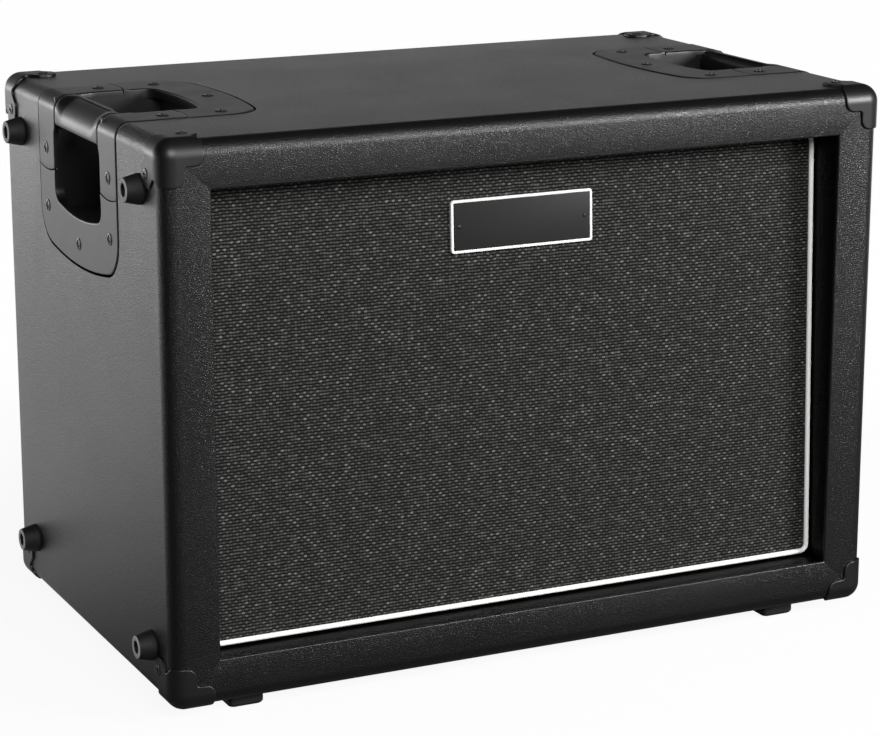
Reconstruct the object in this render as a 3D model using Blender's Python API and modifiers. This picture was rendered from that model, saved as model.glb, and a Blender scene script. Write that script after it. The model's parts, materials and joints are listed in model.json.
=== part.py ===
"""Guitar speaker cabinet with one twelve-inch driver behind a leaning baffle.

Units are metres, +Z is up and the grille faces -Y. The origin is the bottom centre of the
overall box: the rubber side bumpers stand on the left only, so the wooden body sits a few
millimetres to the right of it. The baffle leans back a little, and an empty carries its
plane: the grille, the badge and the driver are placed in that leaning frame.
"""

import math

import bmesh
import bpy
from mathutils import Matrix, Vector

# Clearances
GAP = 0.0003                    # between pieces that touch
OVERSHOOT = 0.010               # how far a cutter runs past what it cuts
WELD = 0.000002                 # distance under which two points are one

# Wooden body
BODY_WIDTH = 0.550
BODY_HEIGHT = 0.387
BODY_DEPTH = 0.338
PANEL = 0.015                   # thickness of the top, bottom and side panels
EDGE_RADIUS = 0.011             # roundover on every outer edge
STILE_WIDTH = 0.0345            # front frame left and right, panel edge included
RAIL_HEIGHT = 0.033             # front frame top and bottom, panel edge included

# Baffle and grille
BAFFLE_LEAN = math.radians(2.0)
GRILLE_RECESS = 0.021           # from the front face to the cloth, at the bottom of the opening
BAFFLE_THICKNESS = 0.015
GRILLE_MARGIN = 0.0012          # between the grille and the opening's walls
BATTEN_DEPTH = 0.060            # before the front frame is cut back to the baffle
GRILLE_FRAME_WIDTH = 0.024
GRILLE_FRAME_THICKNESS = 0.009
CLOTH_THICKNESS = 0.001
PIPING_RADIUS = 0.0016
PIPING_CORNER = 0.005
BADGE_WIDTH = 0.110
BADGE_HEIGHT = 0.037
BADGE_THICKNESS = 0.0022
BADGE_CORNER = 0.0025
BADGE_DROP = 0.028              # from the top of the opening to the badge
BADGE_RIM = 0.0024
BADGE_RIM_PROUD = 0.0004
BADGE_PIN_RADIUS = 0.0016
BADGE_PIN_INSET = 0.006

# Driver
CUTOUT_RADIUS = 0.140
FLANGE_RADIUS = 0.1545
SHEET = 0.002                   # pressed steel of the basket
GASKET_THICKNESS = 0.003
SURROUND_SEAT = 0.012           # width of the ring where the surround is glued
WALL_TOP_RADIUS = 0.127
SPIDER_SEAT_RADIUS = 0.060
SPIDER_SEAT_DEPTH = 0.056
SPIDER_SEAT = 0.008
NECK_DEPTH = 0.022
WINDOW_COUNT = 8
WINDOW_WIDTH = 0.050
WINDOW_INNER_RADIUS = 0.074
WINDOW_OUTER_RADIUS = 0.118
BOLT_CIRCLE_RADIUS = 0.1475
BOLT_COUNT = 4
BOLT_RADIUS = 0.0025
BOLT_HEAD_RADIUS = 0.0055
BOLT_HEAD = 0.0022
NUT_RADIUS = 0.0048
NUT_HEIGHT = 0.004
CONE_THICKNESS = 0.0012
CONE_EDGE_RADIUS = 0.116
CONE_EDGE_DEPTH = 0.0045
CONE_FLARE = 0.006              # how far the cone's side is bowed
DUST_CAP_RADIUS = 0.032
DUST_CAP_RISE = 0.014
COIL_RADIUS = 0.0228            # outer radius of the winding
COIL_THICKNESS = 0.0007
COIL_LENGTH = 0.044
SURROUND_THICKNESS = 0.001
SURROUND_ROLL = 0.0022
SPIDER_THICKNESS = 0.0008
SPIDER_ROLL = 0.0016
SPIDER_ROLLS = 3
CONE_STEPS = 4                  # facets from the cone's edge to its neck
ROLL_STEPS = 4                  # facets across the surround's roll
CAP_STEPS = 4                   # facets from the dust cap's edge to its middle
FRONT_PLATE_RADIUS = 0.070
FRONT_PLATE_THICKNESS = 0.008
MAGNET_RADIUS = 0.078
MAGNET_BORE = 0.027
MAGNET_THICKNESS = 0.020
BACK_PLATE_RADIUS = 0.072
BACK_PLATE_THICKNESS = 0.008
AIR_GAP = 0.0009                # each side of the voice coil
VENT_RADIUS = 0.008
TERMINAL_SIZE = (0.030, 0.010, 0.014)
TERMINAL_TAG = (0.006, 0.008, 0.0008)

# Back panel and jack plate
BACK_RECESS = 0.012             # from the rear edge of the body to the back panel
BACK_THICKNESS = 0.012
CLEAT = 0.020
BACK_SCREW_INSET = 0.011
BACK_SCREWS_ACROSS = 4
BACK_SCREWS_UP = 3
JACK_PLATE_WIDTH = 0.126
JACK_PLATE_HEIGHT = 0.082
JACK_PLATE_THICKNESS = 0.002
JACK_PLATE_CORNER = 0.008
JACK_PLATE_CENTRE_Z = 0.110     # above the bottom of the body
JACK_PLATE_SCREW_INSET = 0.009
DISH_WIDTH = 0.094
DISH_HEIGHT = 0.052
DISH_DEPTH = 0.026
DISH_WALL = 0.002
DISH_CORNER = 0.010
JACK_SPACING = 0.044
JACK_BORE_RADIUS = 0.0034
JACK_BARREL_RADIUS = 0.0047
JACK_NUT_RADIUS = 0.0078
JACK_NUT_HEIGHT = 0.003
JACK_BODY = (0.020, 0.026, 0.018)
JACK_BORE_DEPTH = 0.021         # behind the dish's floor
JACK_BARREL_ROOT = 0.013        # length of the barrel inside the body

# Corner-edge handles, sizes measured from the edge between the top and the side
HANDLE_HALF_LENGTH = 0.0833     # along the depth of the body
HANDLE_REACH = 0.113            # down the side, and in from it along the top
HANDLE_CORNER = 0.021
HANDLE_SAG = 0.0105             # bow of the far edge
HANDLE_PROUD = 0.001
HANDLE_SUNK = 0.002
HANDLE_GROOVE = 0.0012          # open line round the flange
SADDLE_REACH = 0.052
MOUTH_HALF_LENGTH = 0.0494
MOUTH_REACH = 0.079
MOUTH_SAG = 0.006
MOUTH_CORNER = 0.004
CUP_WALL = 0.0025
CUP_CORNER = 0.030
CUP_MARGIN = 0.001              # the cup is this much deeper than the mouth
GRIP_REACH = 0.021
GRIP_PROUD = 0.0005
GRIP_OUTER_RADIUS = 0.0185
GRIP_INNER_RADIUS = 0.010
GRIP_EDGE_RADIUS = 0.003
GRIP_ANCHOR = 0.006             # length of the grip's root beyond the cup
HANDLE_SCREW_RADIUS = 0.0042
HANDLE_SCREW_SIDE = 0.067       # screws either side of the middle
SADDLE_SCREW_REACH = 0.0395
SHELL_SCREW_REACH = 0.0815
FAR_SCREW_REACH = 0.0975

# Corner protectors, sizes measured from the corner's edges
PROTECTOR_THICKNESS = 0.0014
PROTECTOR_LEG = 0.030
PROTECTOR_LEG_STEP = 0.0004
PROTECTOR_LEG_WRAP = 0.0095
PROTECTOR_LEG_CORNER = 0.004
PROTECTOR_L_WIDTH = 0.0165
PROTECTOR_L_CORNER = 0.007
PROTECTOR_PINCH = (0.0245, 0.0105)
PROTECTOR_LOBE_START = 0.0185
PROTECTOR_LOBE_RADIUS = 0.0095
PROTECTOR_SCREW = 0.0235
PROTECTOR_SCREW_RADIUS = 0.0040

# Rubber bumpers on the left side, and rubber feet
BUMPER_HEIGHT = 0.012
BUMPER_BASE_RADIUS = 0.0098
BUMPER_TIP_RADIUS = 0.0082
BUMPER_HOLE_RADIUS = 0.0044
BUMPER_HOLE_DEPTH = 0.007
BUMPER_TIP_ROUND = 0.0008
BUMPER_ANGLE = math.radians(38) # from the protector's screw, off the line of the depth
BUMPER_FRONT_CLEARANCE = 0.001  # to the protector's lobe
BUMPER_REAR_CLEARANCE = 0.003
FOOT_WIDTH = 0.026
FOOT_DEPTH = 0.024
FOOT_HEIGHT = 0.012
FOOT_ROUND = 0.003
FOOT_SIDE_INSET = 0.0475
FOOT_END_INSET = 0.020
FOOT_HOLE_RADIUS = 0.005
FOOT_HOLE_DEPTH = 0.006

# Screw heads that are joined to the piece that they hold
SCREW_PROUD = 0.0004
SCREW_SUNK = 0.0008
BACK_SCREW_RADIUS = 0.0045
PLATE_SCREW_RADIUS = 0.0035

# Facets
EDGE_STEPS = 3
ARC_STEPS = 3                   # per quarter turn of an outline's arc
BOW_STEPS = 6                   # along a bowed edge
DRIVER_SIDES = 30
SMALL_SIDES = 16
SCREW_SIDES = 8

# Places that follow from the sizes
PROTECTOR_PROUD = GAP + PROTECTOR_THICKNESS
X_CENTRE = (BUMPER_HEIGHT - PROTECTOR_PROUD - SCREW_PROUD) / 2
X_LEFT = X_CENTRE - BODY_WIDTH / 2
X_RIGHT = X_CENTRE + BODY_WIDTH / 2
Y_FRONT = -BODY_DEPTH / 2
Y_BACK = BODY_DEPTH / 2
Z_BOTTOM = FOOT_HEIGHT
Z_TOP = FOOT_HEIGHT + BODY_HEIGHT
Z_CENTRE = (Z_BOTTOM + Z_TOP) / 2
OPENING_BOTTOM = Z_BOTTOM + RAIL_HEIGHT
OPENING_TOP = Z_TOP - RAIL_HEIGHT
OPENING_WIDTH = BODY_WIDTH - 2 * STILE_WIDTH
OPENING_HEIGHT = BODY_HEIGHT - 2 * RAIL_HEIGHT
BACK_FACE = Y_BACK - BACK_RECESS
BACK_INNER = BACK_FACE - BACK_THICKNESS
CUP_FAR = MOUTH_REACH + CUP_MARGIN + CUP_WALL   # outside of the handle's cup, from the edge

# Depths in the leaning frame, behind the front of the cloth
FRAME_FRONT = CLOTH_THICKNESS + GAP
FRAME_BACK = FRAME_FRONT + GRILLE_FRAME_THICKNESS
BAFFLE_FRONT = FRAME_BACK + GAP
BAFFLE_BACK = BAFFLE_FRONT + BAFFLE_THICKNESS
GASKET_FRONT = BAFFLE_BACK + GAP
FLANGE_FRONT = GASKET_FRONT + GASKET_THICKNESS + GAP

COLOURS = {
    "vinyl": ((0.030, 0.030, 0.031), 0.50, 0.0),
    "birch_ply": ((0.48, 0.34, 0.20), 0.70, 0.0),
    "grille_cloth": ((0.035, 0.035, 0.035), 0.90, 0.0),
    "white_piping": ((0.80, 0.80, 0.78), 0.40, 0.0),
    "black_plastic": ((0.020, 0.020, 0.020), 0.38, 0.0),
    "rubber": ((0.012, 0.012, 0.012), 0.75, 0.0),
    "badge": ((0.025, 0.025, 0.026), 0.40, 0.0),
    "black_steel": ((0.030, 0.030, 0.030), 0.42, 0.9),
    "zinc_steel": ((0.55, 0.55, 0.53), 0.35, 1.0),
    "cone_paper": ((0.030, 0.028, 0.026), 0.85, 0.0),
    "gasket_cork": ((0.22, 0.14, 0.08), 0.90, 0.0),
    "ferrite": ((0.045, 0.045, 0.048), 0.60, 0.0),
    "coil_copper": ((0.70, 0.32, 0.16), 0.35, 1.0),
}


def start_scene():
    """Empty the scene and make one collection for the parts and one for the cutters."""
    for obj in list(bpy.data.objects):
        bpy.data.objects.remove(obj, do_unlink=True)
    parts = bpy.data.collections.new("guitar_speaker_cabinet")
    cutters = bpy.data.collections.new("cutters")
    bpy.context.scene.collection.children.link(parts)
    bpy.context.scene.collection.children.link(cutters)
    return parts, cutters


PARTS, CUTTERS = start_scene()


def material(name, finish):
    """Principled material of one part, in the finish that it shares with like parts."""
    colour, roughness, metallic = COLOURS[finish]
    result = bpy.data.materials.new(name)
    result.use_nodes = True
    shader = result.node_tree.nodes["Principled BSDF"]
    shader.inputs["Base Color"].default_value = (*colour, 1.0)
    shader.inputs["Roughness"].default_value = roughness
    shader.inputs["Metallic"].default_value = metallic
    return result


def add_part(name, mesh, finish, location=(0, 0, 0), rotation=(0, 0, 0), parent=None):
    """Put a mesh in the parts collection as one named sub-part."""
    obj = bpy.data.objects.new(name, mesh)
    PARTS.objects.link(obj)
    mesh.materials.clear()
    mesh.materials.append(material(name, finish))
    obj.location = location
    obj.rotation_euler = rotation
    obj.parent = parent
    return obj


def add_cutter(name, mesh, location=(0, 0, 0), rotation=(0, 0, 0), parent=None):
    """Put a mesh in the cutters collection, shown as wire and never rendered."""
    obj = bpy.data.objects.new(name, mesh)
    CUTTERS.objects.link(obj)
    obj.display_type = "WIRE"
    obj.hide_render = True
    obj.location = location
    obj.rotation_euler = rotation
    obj.parent = parent
    return obj


def combine(obj, operation, other):
    """Boolean of one object with another, left live on the first."""
    modifier = obj.modifiers.new(operation.lower(), "BOOLEAN")
    modifier.operation = operation
    modifier.solver = "EXACT"
    modifier.object = other


def round_edges(obj, width, segments):
    """Bevel that rounds every edge of an object."""
    modifier = obj.modifiers.new("round", "BEVEL")
    modifier.width = width
    modifier.segments = segments
    modifier.limit_method = "ANGLE"


def shade(mesh, angle=40):
    """Smooth shading with creases kept where faces meet at more than the angle."""
    mesh.shade_smooth()
    mesh.set_sharp_from_angle(angle=math.radians(angle))


def evaluated_mesh(obj):
    """Mesh of an object with its modifiers and its place in the world applied."""
    bpy.context.view_layer.update()
    graph = bpy.context.evaluated_depsgraph_get()
    mesh = bpy.data.meshes.new_from_object(obj.evaluated_get(graph))
    mesh.transform(obj.matrix_world)
    return mesh


def mirrored_mesh(mesh, axis, plane):
    """Copy of a mesh mirrored in the plane where its coordinate along the axis is plane."""
    result = mesh.copy()
    shift = Vector((0, 0, 0))
    shift[axis] = plane
    direction = Vector((0, 0, 0))
    direction[axis] = 1
    mirror = Matrix.Scale(-1, 4, direction)
    result.transform(Matrix.Translation(shift) @ mirror @ Matrix.Translation(-shift))
    result.flip_normals()
    return result


def joined_mesh(name, meshes):
    """One mesh that holds several, each still its own body."""
    build = bmesh.new()
    for mesh in meshes:
        build.from_mesh(mesh)
    result = bpy.data.meshes.new(name)
    build.to_mesh(result)
    build.free()
    return result


def box_mesh(name, low, high):
    """Box between two corners."""
    low = Vector(low)
    high = Vector(high)
    build = bmesh.new()
    bmesh.ops.create_cube(build, size=1.0)
    size = high - low
    bmesh.ops.scale(build, vec=size, verts=build.verts)
    bmesh.ops.translate(build, vec=(low + high) / 2, verts=build.verts)
    mesh = bpy.data.meshes.new(name)
    build.to_mesh(mesh)
    build.free()
    return mesh


def rod_mesh(name, start, end, radius, sides):
    """Cylinder from one point to another."""
    start = Vector(start)
    end = Vector(end)
    build = bmesh.new()
    length = (end - start).length
    bmesh.ops.create_cone(build, cap_ends=True, segments=sides, radius1=radius,
                          radius2=radius, depth=length)
    mesh = bpy.data.meshes.new(name)
    build.to_mesh(mesh)
    build.free()
    turn = (end - start).to_track_quat("Z", "Y").to_matrix().to_4x4()
    mesh.transform(Matrix.Translation((start + end) / 2) @ turn)
    return mesh


def rounded(corners):
    """Outline of a polygon whose corners (x, y, radius) are turned into arcs."""
    points = []
    count = len(corners)
    for index, (x, y, radius) in enumerate(corners):
        here = Vector((x, y))
        before = Vector(corners[index - 1][:2]) - here
        after = Vector(corners[(index + 1) % count][:2]) - here
        if radius == 0:
            points.append(here)
            continue
        half = before.angle(after) / 2
        reach = min(radius / math.tan(half), before.length * 0.499, after.length * 0.999)
        fillet = reach * math.tan(half)
        centre = here + (before.normalized() + after.normalized()).normalized() * (
            fillet / math.sin(half))
        start = here + before.normalized() * reach - centre
        turn = math.pi - 2 * half
        side = 1 if before.cross(after) < 0 else -1
        steps = max(1, math.ceil(ARC_STEPS * turn / (math.pi / 2)))
        for step in range(steps + 1):
            angle = side * turn * step / steps
            arm = Matrix.Rotation(angle, 2) @ start
            points.append(centre + arm)
    return points


def bowed(start, end, sag, steps):
    """Points between two ends along an arc that bows to the right of the way by sag."""
    start = Vector(start)
    end = Vector(end)
    chord = end - start
    out = Vector((chord.y, -chord.x)).normalized()
    points = []
    for step in range(1, steps):
        share = step / steps
        rise = sag * 4 * share * (1 - share)
        points.append(start + chord * share + out * rise)
    return points


def plate_mesh(name, outlines, low, high, place):
    """Flat plate from closed outlines, from low to high along its normal, then placed."""
    curve = bpy.data.curves.new(name, "CURVE")
    curve.dimensions = "2D"
    curve.fill_mode = "BOTH"
    curve.extrude = (high - low) / 2
    for outline in outlines:
        spline = curve.splines.new("POLY")
        spline.points.add(len(outline) - 1)
        for point, (x, y) in zip(spline.points, outline):
            point.co = (x, y, 0, 1)
        spline.use_cyclic_u = True
    guide = bpy.data.objects.new(name, curve)
    CUTTERS.objects.link(guide)
    bpy.context.view_layer.update()
    graph = bpy.context.evaluated_depsgraph_get()
    mesh = bpy.data.meshes.new_from_object(guide.evaluated_get(graph))
    bpy.data.objects.remove(guide)
    build = bmesh.new()
    build.from_mesh(mesh)
    bmesh.ops.remove_doubles(build, verts=build.verts, dist=WELD)
    bmesh.ops.recalc_face_normals(build, faces=build.faces)
    build.to_mesh(mesh)
    build.free()
    mesh.transform(place @ Matrix.Translation((0, 0, (low + high) / 2)))
    if place.determinant() < 0:
        mesh.flip_normals()
    return mesh


def turned_mesh(name, profile, sides, closed=True):
    """Profile of (radius, height) points turned about Z by a Screw modifier."""
    build = bmesh.new()
    points = [build.verts.new((radius, 0, height)) for radius, height in profile]
    pairs = list(zip(points, points[1:]))
    if closed:
        pairs.append((points[-1], points[0]))
    for first, second in pairs:
        build.edges.new((first, second))
    mesh = bpy.data.meshes.new(name)
    build.to_mesh(mesh)
    build.free()
    guide = bpy.data.objects.new(name, mesh)
    CUTTERS.objects.link(guide)
    screw = guide.modifiers.new("turn", "SCREW")
    screw.steps = sides
    screw.render_steps = sides
    screw.use_merge_vertices = True
    screw.merge_threshold = WELD
    result = evaluated_mesh(guide)
    bpy.data.objects.remove(guide)
    return result


def sheet_profile(path, thickness):
    """Closed profile of a sheet whose outer end comes first, half its thickness each side."""
    outer = []
    inner = []
    for index, point in enumerate(path):
        here = Vector(point)
        before = Vector(path[max(index - 1, 0)])
        after = Vector(path[min(index + 1, len(path) - 1)])
        arrive = (here - before).normalized() if index else (after - here).normalized()
        leave = (after - here).normalized() if after != here else arrive
        normal = Vector((-(arrive + leave).y, (arrive + leave).x)).normalized()
        along = Vector((-arrive.y, arrive.x))
        push = normal * (thickness / 2 / normal.dot(along))
        outer.append(here - push)
        inner.append(here + push)
    return [tuple(point) for point in inner + outer[::-1]]


def axes(x_axis, y_axis, z_axis, origin):
    """Matrix that maps a plate's own axes onto the given directions at an origin."""
    matrix = Matrix((x_axis, y_axis, z_axis)).transposed().to_4x4()
    matrix.translation = origin
    return matrix


def body_block(name, offset):
    """Rounded block of the whole body, grown by an offset."""
    low = (X_LEFT - offset, Y_FRONT - offset, Z_BOTTOM - offset)
    high = (X_RIGHT + offset, Y_BACK + offset, Z_TOP + offset)
    block = bpy.data.objects.new(name, box_mesh(name, low, high))
    round_edges(block, EDGE_RADIUS + offset, EDGE_STEPS)
    CUTTERS.objects.link(block)
    mesh = evaluated_mesh(block)
    bpy.data.objects.remove(block)
    return mesh


def rounded_rectangle(width, height, radius):
    """Outline of a rectangle centred on the origin, with round corners."""
    x = width / 2
    y = height / 2
    return rounded([(-x, -y, radius), (x, -y, radius), (x, y, radius), (-x, y, radius)])


def circle(centre, radius):
    """Outline of a small circle, with as many sides as a screw head."""
    centre = Vector(centre)
    turns = [2 * math.pi * index / SCREW_SIDES for index in range(SCREW_SIDES)]
    return [centre + Vector((math.cos(turn), math.sin(turn))) * radius for turn in turns]


def screw_heads(name, places, radius, direction, low, high):
    """Round screw heads at several points, from low to high along a direction."""
    direction = Vector(direction)
    heads = []
    for place in places:
        start = Vector(place) + direction * low
        end = Vector(place) + direction * high
        heads.append(rod_mesh(name, start, end, radius, SCREW_SIDES))
    return heads


# Corner-edge handles

def handle_face(face):
    """Axes of the left handle on a face: x along the depth, y away from the edge, z out."""
    edge = Vector((X_LEFT, 0, Z_TOP))
    if face == "side":
        return axes((0, 1, 0), (0, 0, -1), (-1, 0, 0), edge)
    return axes((0, 1, 0), (1, 0, 0), (0, 0, 1), edge)


def bow_outline(half, start, reach, sag, corner):
    """Outline from a straight line at start to a bowed far edge, with round shoulders."""
    left = (-half, reach - sag)
    right = (half, reach - sag)
    bow = [(p.x, p.y, 0) for p in bowed(right, left, sag, BOW_STEPS)]
    return rounded([(-half, start, 0), (half, start, 0), (*right, corner), *bow,
                    (*left, corner)])


def flange_prisms(start, grow):
    """The flange's outline on both faces, carried from outside the body into the panels."""
    outline = bow_outline(HANDLE_HALF_LENGTH + grow, start, HANDLE_REACH + grow, HANDLE_SAG,
                          HANDLE_CORNER + grow)
    return [plate_mesh("flange", [outline], -PANEL, OVERSHOOT, handle_face(face))
            for face in ("side", "top")]


def mouth_prism(face):
    """Opening of the hand space in one face."""
    outline = bow_outline(MOUTH_HALF_LENGTH, -OVERSHOOT, MOUTH_REACH, MOUTH_SAG, MOUTH_CORNER)
    return plate_mesh("mouth", [outline], -PANEL, OVERSHOOT, handle_face(face))


def edge_prism(name, corners, start, end):
    """Section of (inward, down) corners at the top left edge, carried along the depth."""
    place = axes((1, 0, 0), (0, 0, -1), (0, 1, 0), Vector((X_LEFT, 0, Z_TOP)))
    return plate_mesh(name, [rounded(corners)], start, end, place)


def open_square(far, corner):
    """Section open to the top and the side, with a round inner corner."""
    return [(-OVERSHOOT, -OVERSHOOT, 0), (far, -OVERSHOOT, 0), (far, far, corner),
            (-OVERSHOOT, far, 0)]


def grip_section(outer_radius, grow):
    """Section of the grip: a square at the edge with a large outer radius."""
    low = -GRIP_PROUD - grow
    high = GRIP_REACH + grow
    return [(low, low, outer_radius + grow), (high, low, GRIP_EDGE_RADIUS),
            (high, high, GRIP_INNER_RADIUS), (low, high, GRIP_EDGE_RADIUS)]


def cup_section():
    """Outer section of the cup, stepped down where the saddle lies over it."""
    under = HANDLE_SUNK + GAP
    lip = HANDLE_SUNK / 2
    seam = SADDLE_REACH + GAP
    return [(under, under, EDGE_RADIUS), (seam, under, 0), (seam, lip, 0), (CUP_FAR, lip, 0),
            (CUP_FAR, CUP_FAR, CUP_CORNER + CUP_WALL), (lip, CUP_FAR, 0), (lip, seam, 0),
            (under, seam, 0)]


def handle_heads(name, rows):
    """Screw heads on both faces, for rows of (reach from the edge, sides of the middle)."""
    heads = []
    for face, out in (("side", (-1, 0, 0)), ("top", (0, 0, 1))):
        for reach, sides in rows:
            place = handle_face(face)
            places = [place @ Vector((side * HANDLE_SCREW_SIDE, reach, HANDLE_PROUD))
                      for side in sides]
            heads += screw_heads(name, places, HANDLE_SCREW_RADIUS, out, -SCREW_SUNK,
                                 SCREW_PROUD)
    return add_cutter(name, joined_mesh(name, heads))


def build_handles():
    """Moulded shell with cup and flange, and the saddle that carries the grip, each side."""
    skin = body_block("handle_skin", HANDLE_PROUD)
    core = add_cutter("handle_core", body_block("handle_core", -HANDLE_SUNK))
    half_cup = MOUTH_HALF_LENGTH + CUP_WALL
    grip_end = half_cup + GAP + GRIP_ANCHOR

    cup = add_cutter("handle_cup", edge_prism("cup", cup_section(), -half_cup, half_cup))
    hollow = edge_prism("hollow", open_square(MOUTH_REACH + CUP_MARGIN, CUP_CORNER),
                        -MOUTH_HALF_LENGTH, MOUTH_HALF_LENGTH)
    combine(cup, "DIFFERENCE", add_cutter("hand_space", hollow))
    grip_pass = edge_prism("grip_pass", grip_section(GRIP_OUTER_RADIUS, GAP), -grip_end,
                           grip_end)

    shell = add_part("handle_shell_left", skin, "black_plastic")
    flanges = joined_mesh("shell_flanges", flange_prisms(SADDLE_REACH + GAP, 0))
    combine(shell, "INTERSECT", add_cutter("shell_flanges", flanges))
    combine(shell, "DIFFERENCE", core)
    for face in ("side", "top"):
        combine(shell, "DIFFERENCE", add_cutter("mouth_" + face, mouth_prism(face)))
    combine(shell, "UNION", cup)
    combine(shell, "DIFFERENCE", add_cutter("grip_pass", grip_pass))
    combine(shell, "UNION", handle_heads("shell_screws", [(SHELL_SCREW_REACH, (-1, 1)),
                                                          (FAR_SCREW_REACH, (0,))]))

    saddle = add_part("handle_grip_left", skin.copy(), "black_plastic")
    square = open_square(SADDLE_REACH, 0)
    strips = [edge_prism("strip", square, MOUTH_HALF_LENGTH, HANDLE_HALF_LENGTH),
              edge_prism("strip", square, -HANDLE_HALF_LENGTH, -MOUTH_HALF_LENGTH)]
    combine(saddle, "INTERSECT", add_cutter("saddle_strips", joined_mesh("strips", strips)))
    combine(saddle, "DIFFERENCE", core)
    grip = edge_prism("grip", grip_section(GRIP_OUTER_RADIUS, 0), -grip_end, grip_end)
    combine(saddle, "UNION", add_cutter("grip_bar", grip))
    root_section = grip_section(EDGE_RADIUS + GRIP_PROUD, 0)
    for name, start, end in (("grip_root_back", half_cup + GAP, grip_end),
                             ("grip_root_front", -grip_end, -half_cup - GAP)):
        combine(saddle, "UNION", add_cutter(name, edge_prism(name, root_section, start, end)))
    combine(saddle, "UNION", handle_heads("saddle_screws", [(SADDLE_SCREW_REACH, (-1, 1))]))

    for obj, name in ((shell, "handle_shell_right"), (saddle, "handle_grip_right")):
        mesh = evaluated_mesh(obj)
        obj.modifiers.clear()
        obj.data = mesh
        shade(mesh)
        add_part(name, mirrored_mesh(mesh, 0, X_CENTRE), "black_plastic")


def handle_panel_cutters():
    """Cutters that let both handles into the panels: rebate, cup hole and grip slot."""
    side, top = flange_prisms(-OVERSHOOT, HANDLE_GROOVE)
    rebate = add_cutter("rebate_side", side)
    combine(rebate, "UNION", add_cutter("rebate_top", top))
    floor = body_block("rebate_floor", -HANDLE_SUNK - GAP)
    combine(rebate, "DIFFERENCE", add_cutter("rebate_floor", floor))
    half_hole = MOUTH_HALF_LENGTH + CUP_WALL + GAP
    half_slot = half_hole + GRIP_ANCHOR + GAP
    hole = open_square(CUP_FAR + GAP, CUP_CORNER + CUP_WALL + GAP)
    slot = open_square(GRIP_REACH + GAP, 0)
    meshes = [evaluated_mesh(rebate), edge_prism("cup_hole", hole, -half_hole, half_hole),
              edge_prism("grip_slot", slot, -half_slot, half_slot)]
    result = []
    for mesh in meshes:
        result.append(add_cutter(mesh.name + "_left", mesh))
        result.append(add_cutter(mesh.name + "_right", mirrored_mesh(mesh, 0, X_CENTRE)))
    return result


# Wooden body

def build_panels():
    """Four mitred panels cut from one rounded shell, let in for the handles."""
    shell = body_block("body_shell", 0)
    cavity = box_mesh("cavity", (X_LEFT + PANEL, Y_FRONT - OVERSHOOT, Z_BOTTOM + PANEL),
                      (X_RIGHT - PANEL, Y_BACK + OVERSHOOT, Z_TOP - PANEL))
    cavity = add_cutter("body_cavity", cavity)
    handle_cuts = handle_panel_cutters()
    place = axes((1, 0, 0), (0, 0, 1), (0, -1, 0), Vector((X_CENTRE, 0, Z_CENTRE)))
    half_width = BODY_WIDTH / 2
    half_height = BODY_HEIGHT / 2
    reach = PANEL + OVERSHOOT
    for name, along, across, turn in (("top_panel", half_width, half_height, 0),
                                      ("bottom_panel", half_width, half_height, 2),
                                      ("left_panel", half_height, half_width, 1),
                                      ("right_panel", half_height, half_width, 3)):
        mitre = GAP * math.sqrt(0.5)
        wedge = [(-along - OVERSHOOT + mitre, across + OVERSHOOT),
                 (along + OVERSHOOT - mitre, across + OVERSHOOT),
                 (along - reach - mitre, across - reach),
                 (-along + reach + mitre, across - reach)]
        spin = Matrix.Rotation(turn * math.pi / 2, 4, "Z")
        mesh = plate_mesh(name + "_wedge", [wedge], -BODY_DEPTH, BODY_DEPTH, place @ spin)
        panel = add_part(name, shell.copy(), "vinyl")
        combine(panel, "DIFFERENCE", cavity)
        combine(panel, "INTERSECT", add_cutter(name + "_wedge", mesh))
        for cut in handle_cuts:
            if name != "bottom_panel" and (name == "top_panel" or name[:4] in cut.name):
                combine(panel, "DIFFERENCE", cut)


def build_front_battens(lean):
    """Front frame inside the panels, its back cut to the leaning baffle."""
    cut = box_mesh("baffle_side", (-BODY_WIDTH, BAFFLE_FRONT - GAP, -BODY_HEIGHT),
                   (BODY_WIDTH, BODY_DEPTH, 2 * BODY_HEIGHT))
    cut = add_cutter("baffle_side", cut, parent=lean)
    left = X_LEFT + PANEL + GAP
    right = X_RIGHT - PANEL - GAP
    bottom = Z_BOTTOM + PANEL + GAP
    top = Z_TOP - PANEL - GAP
    stile_left = X_LEFT + STILE_WIDTH
    stile_right = X_RIGHT - STILE_WIDTH
    stile_bottom = OPENING_BOTTOM + GAP
    stile_top = OPENING_TOP - GAP
    boxes = {
        "front_rail_top": ((left, OPENING_TOP), (right, top)),
        "front_rail_bottom": ((left, bottom), (right, OPENING_BOTTOM)),
        "front_stile_left": ((left, stile_bottom), (stile_left, stile_top)),
        "front_stile_right": ((stile_right, stile_bottom), (right, stile_top)),
    }
    for name, (low, high) in boxes.items():
        mesh = box_mesh(name, (low[0], Y_FRONT, low[1]),
                        (high[0], Y_FRONT + BATTEN_DEPTH, high[1]))
        combine(add_part(name, mesh, "vinyl"), "DIFFERENCE", cut)


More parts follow.
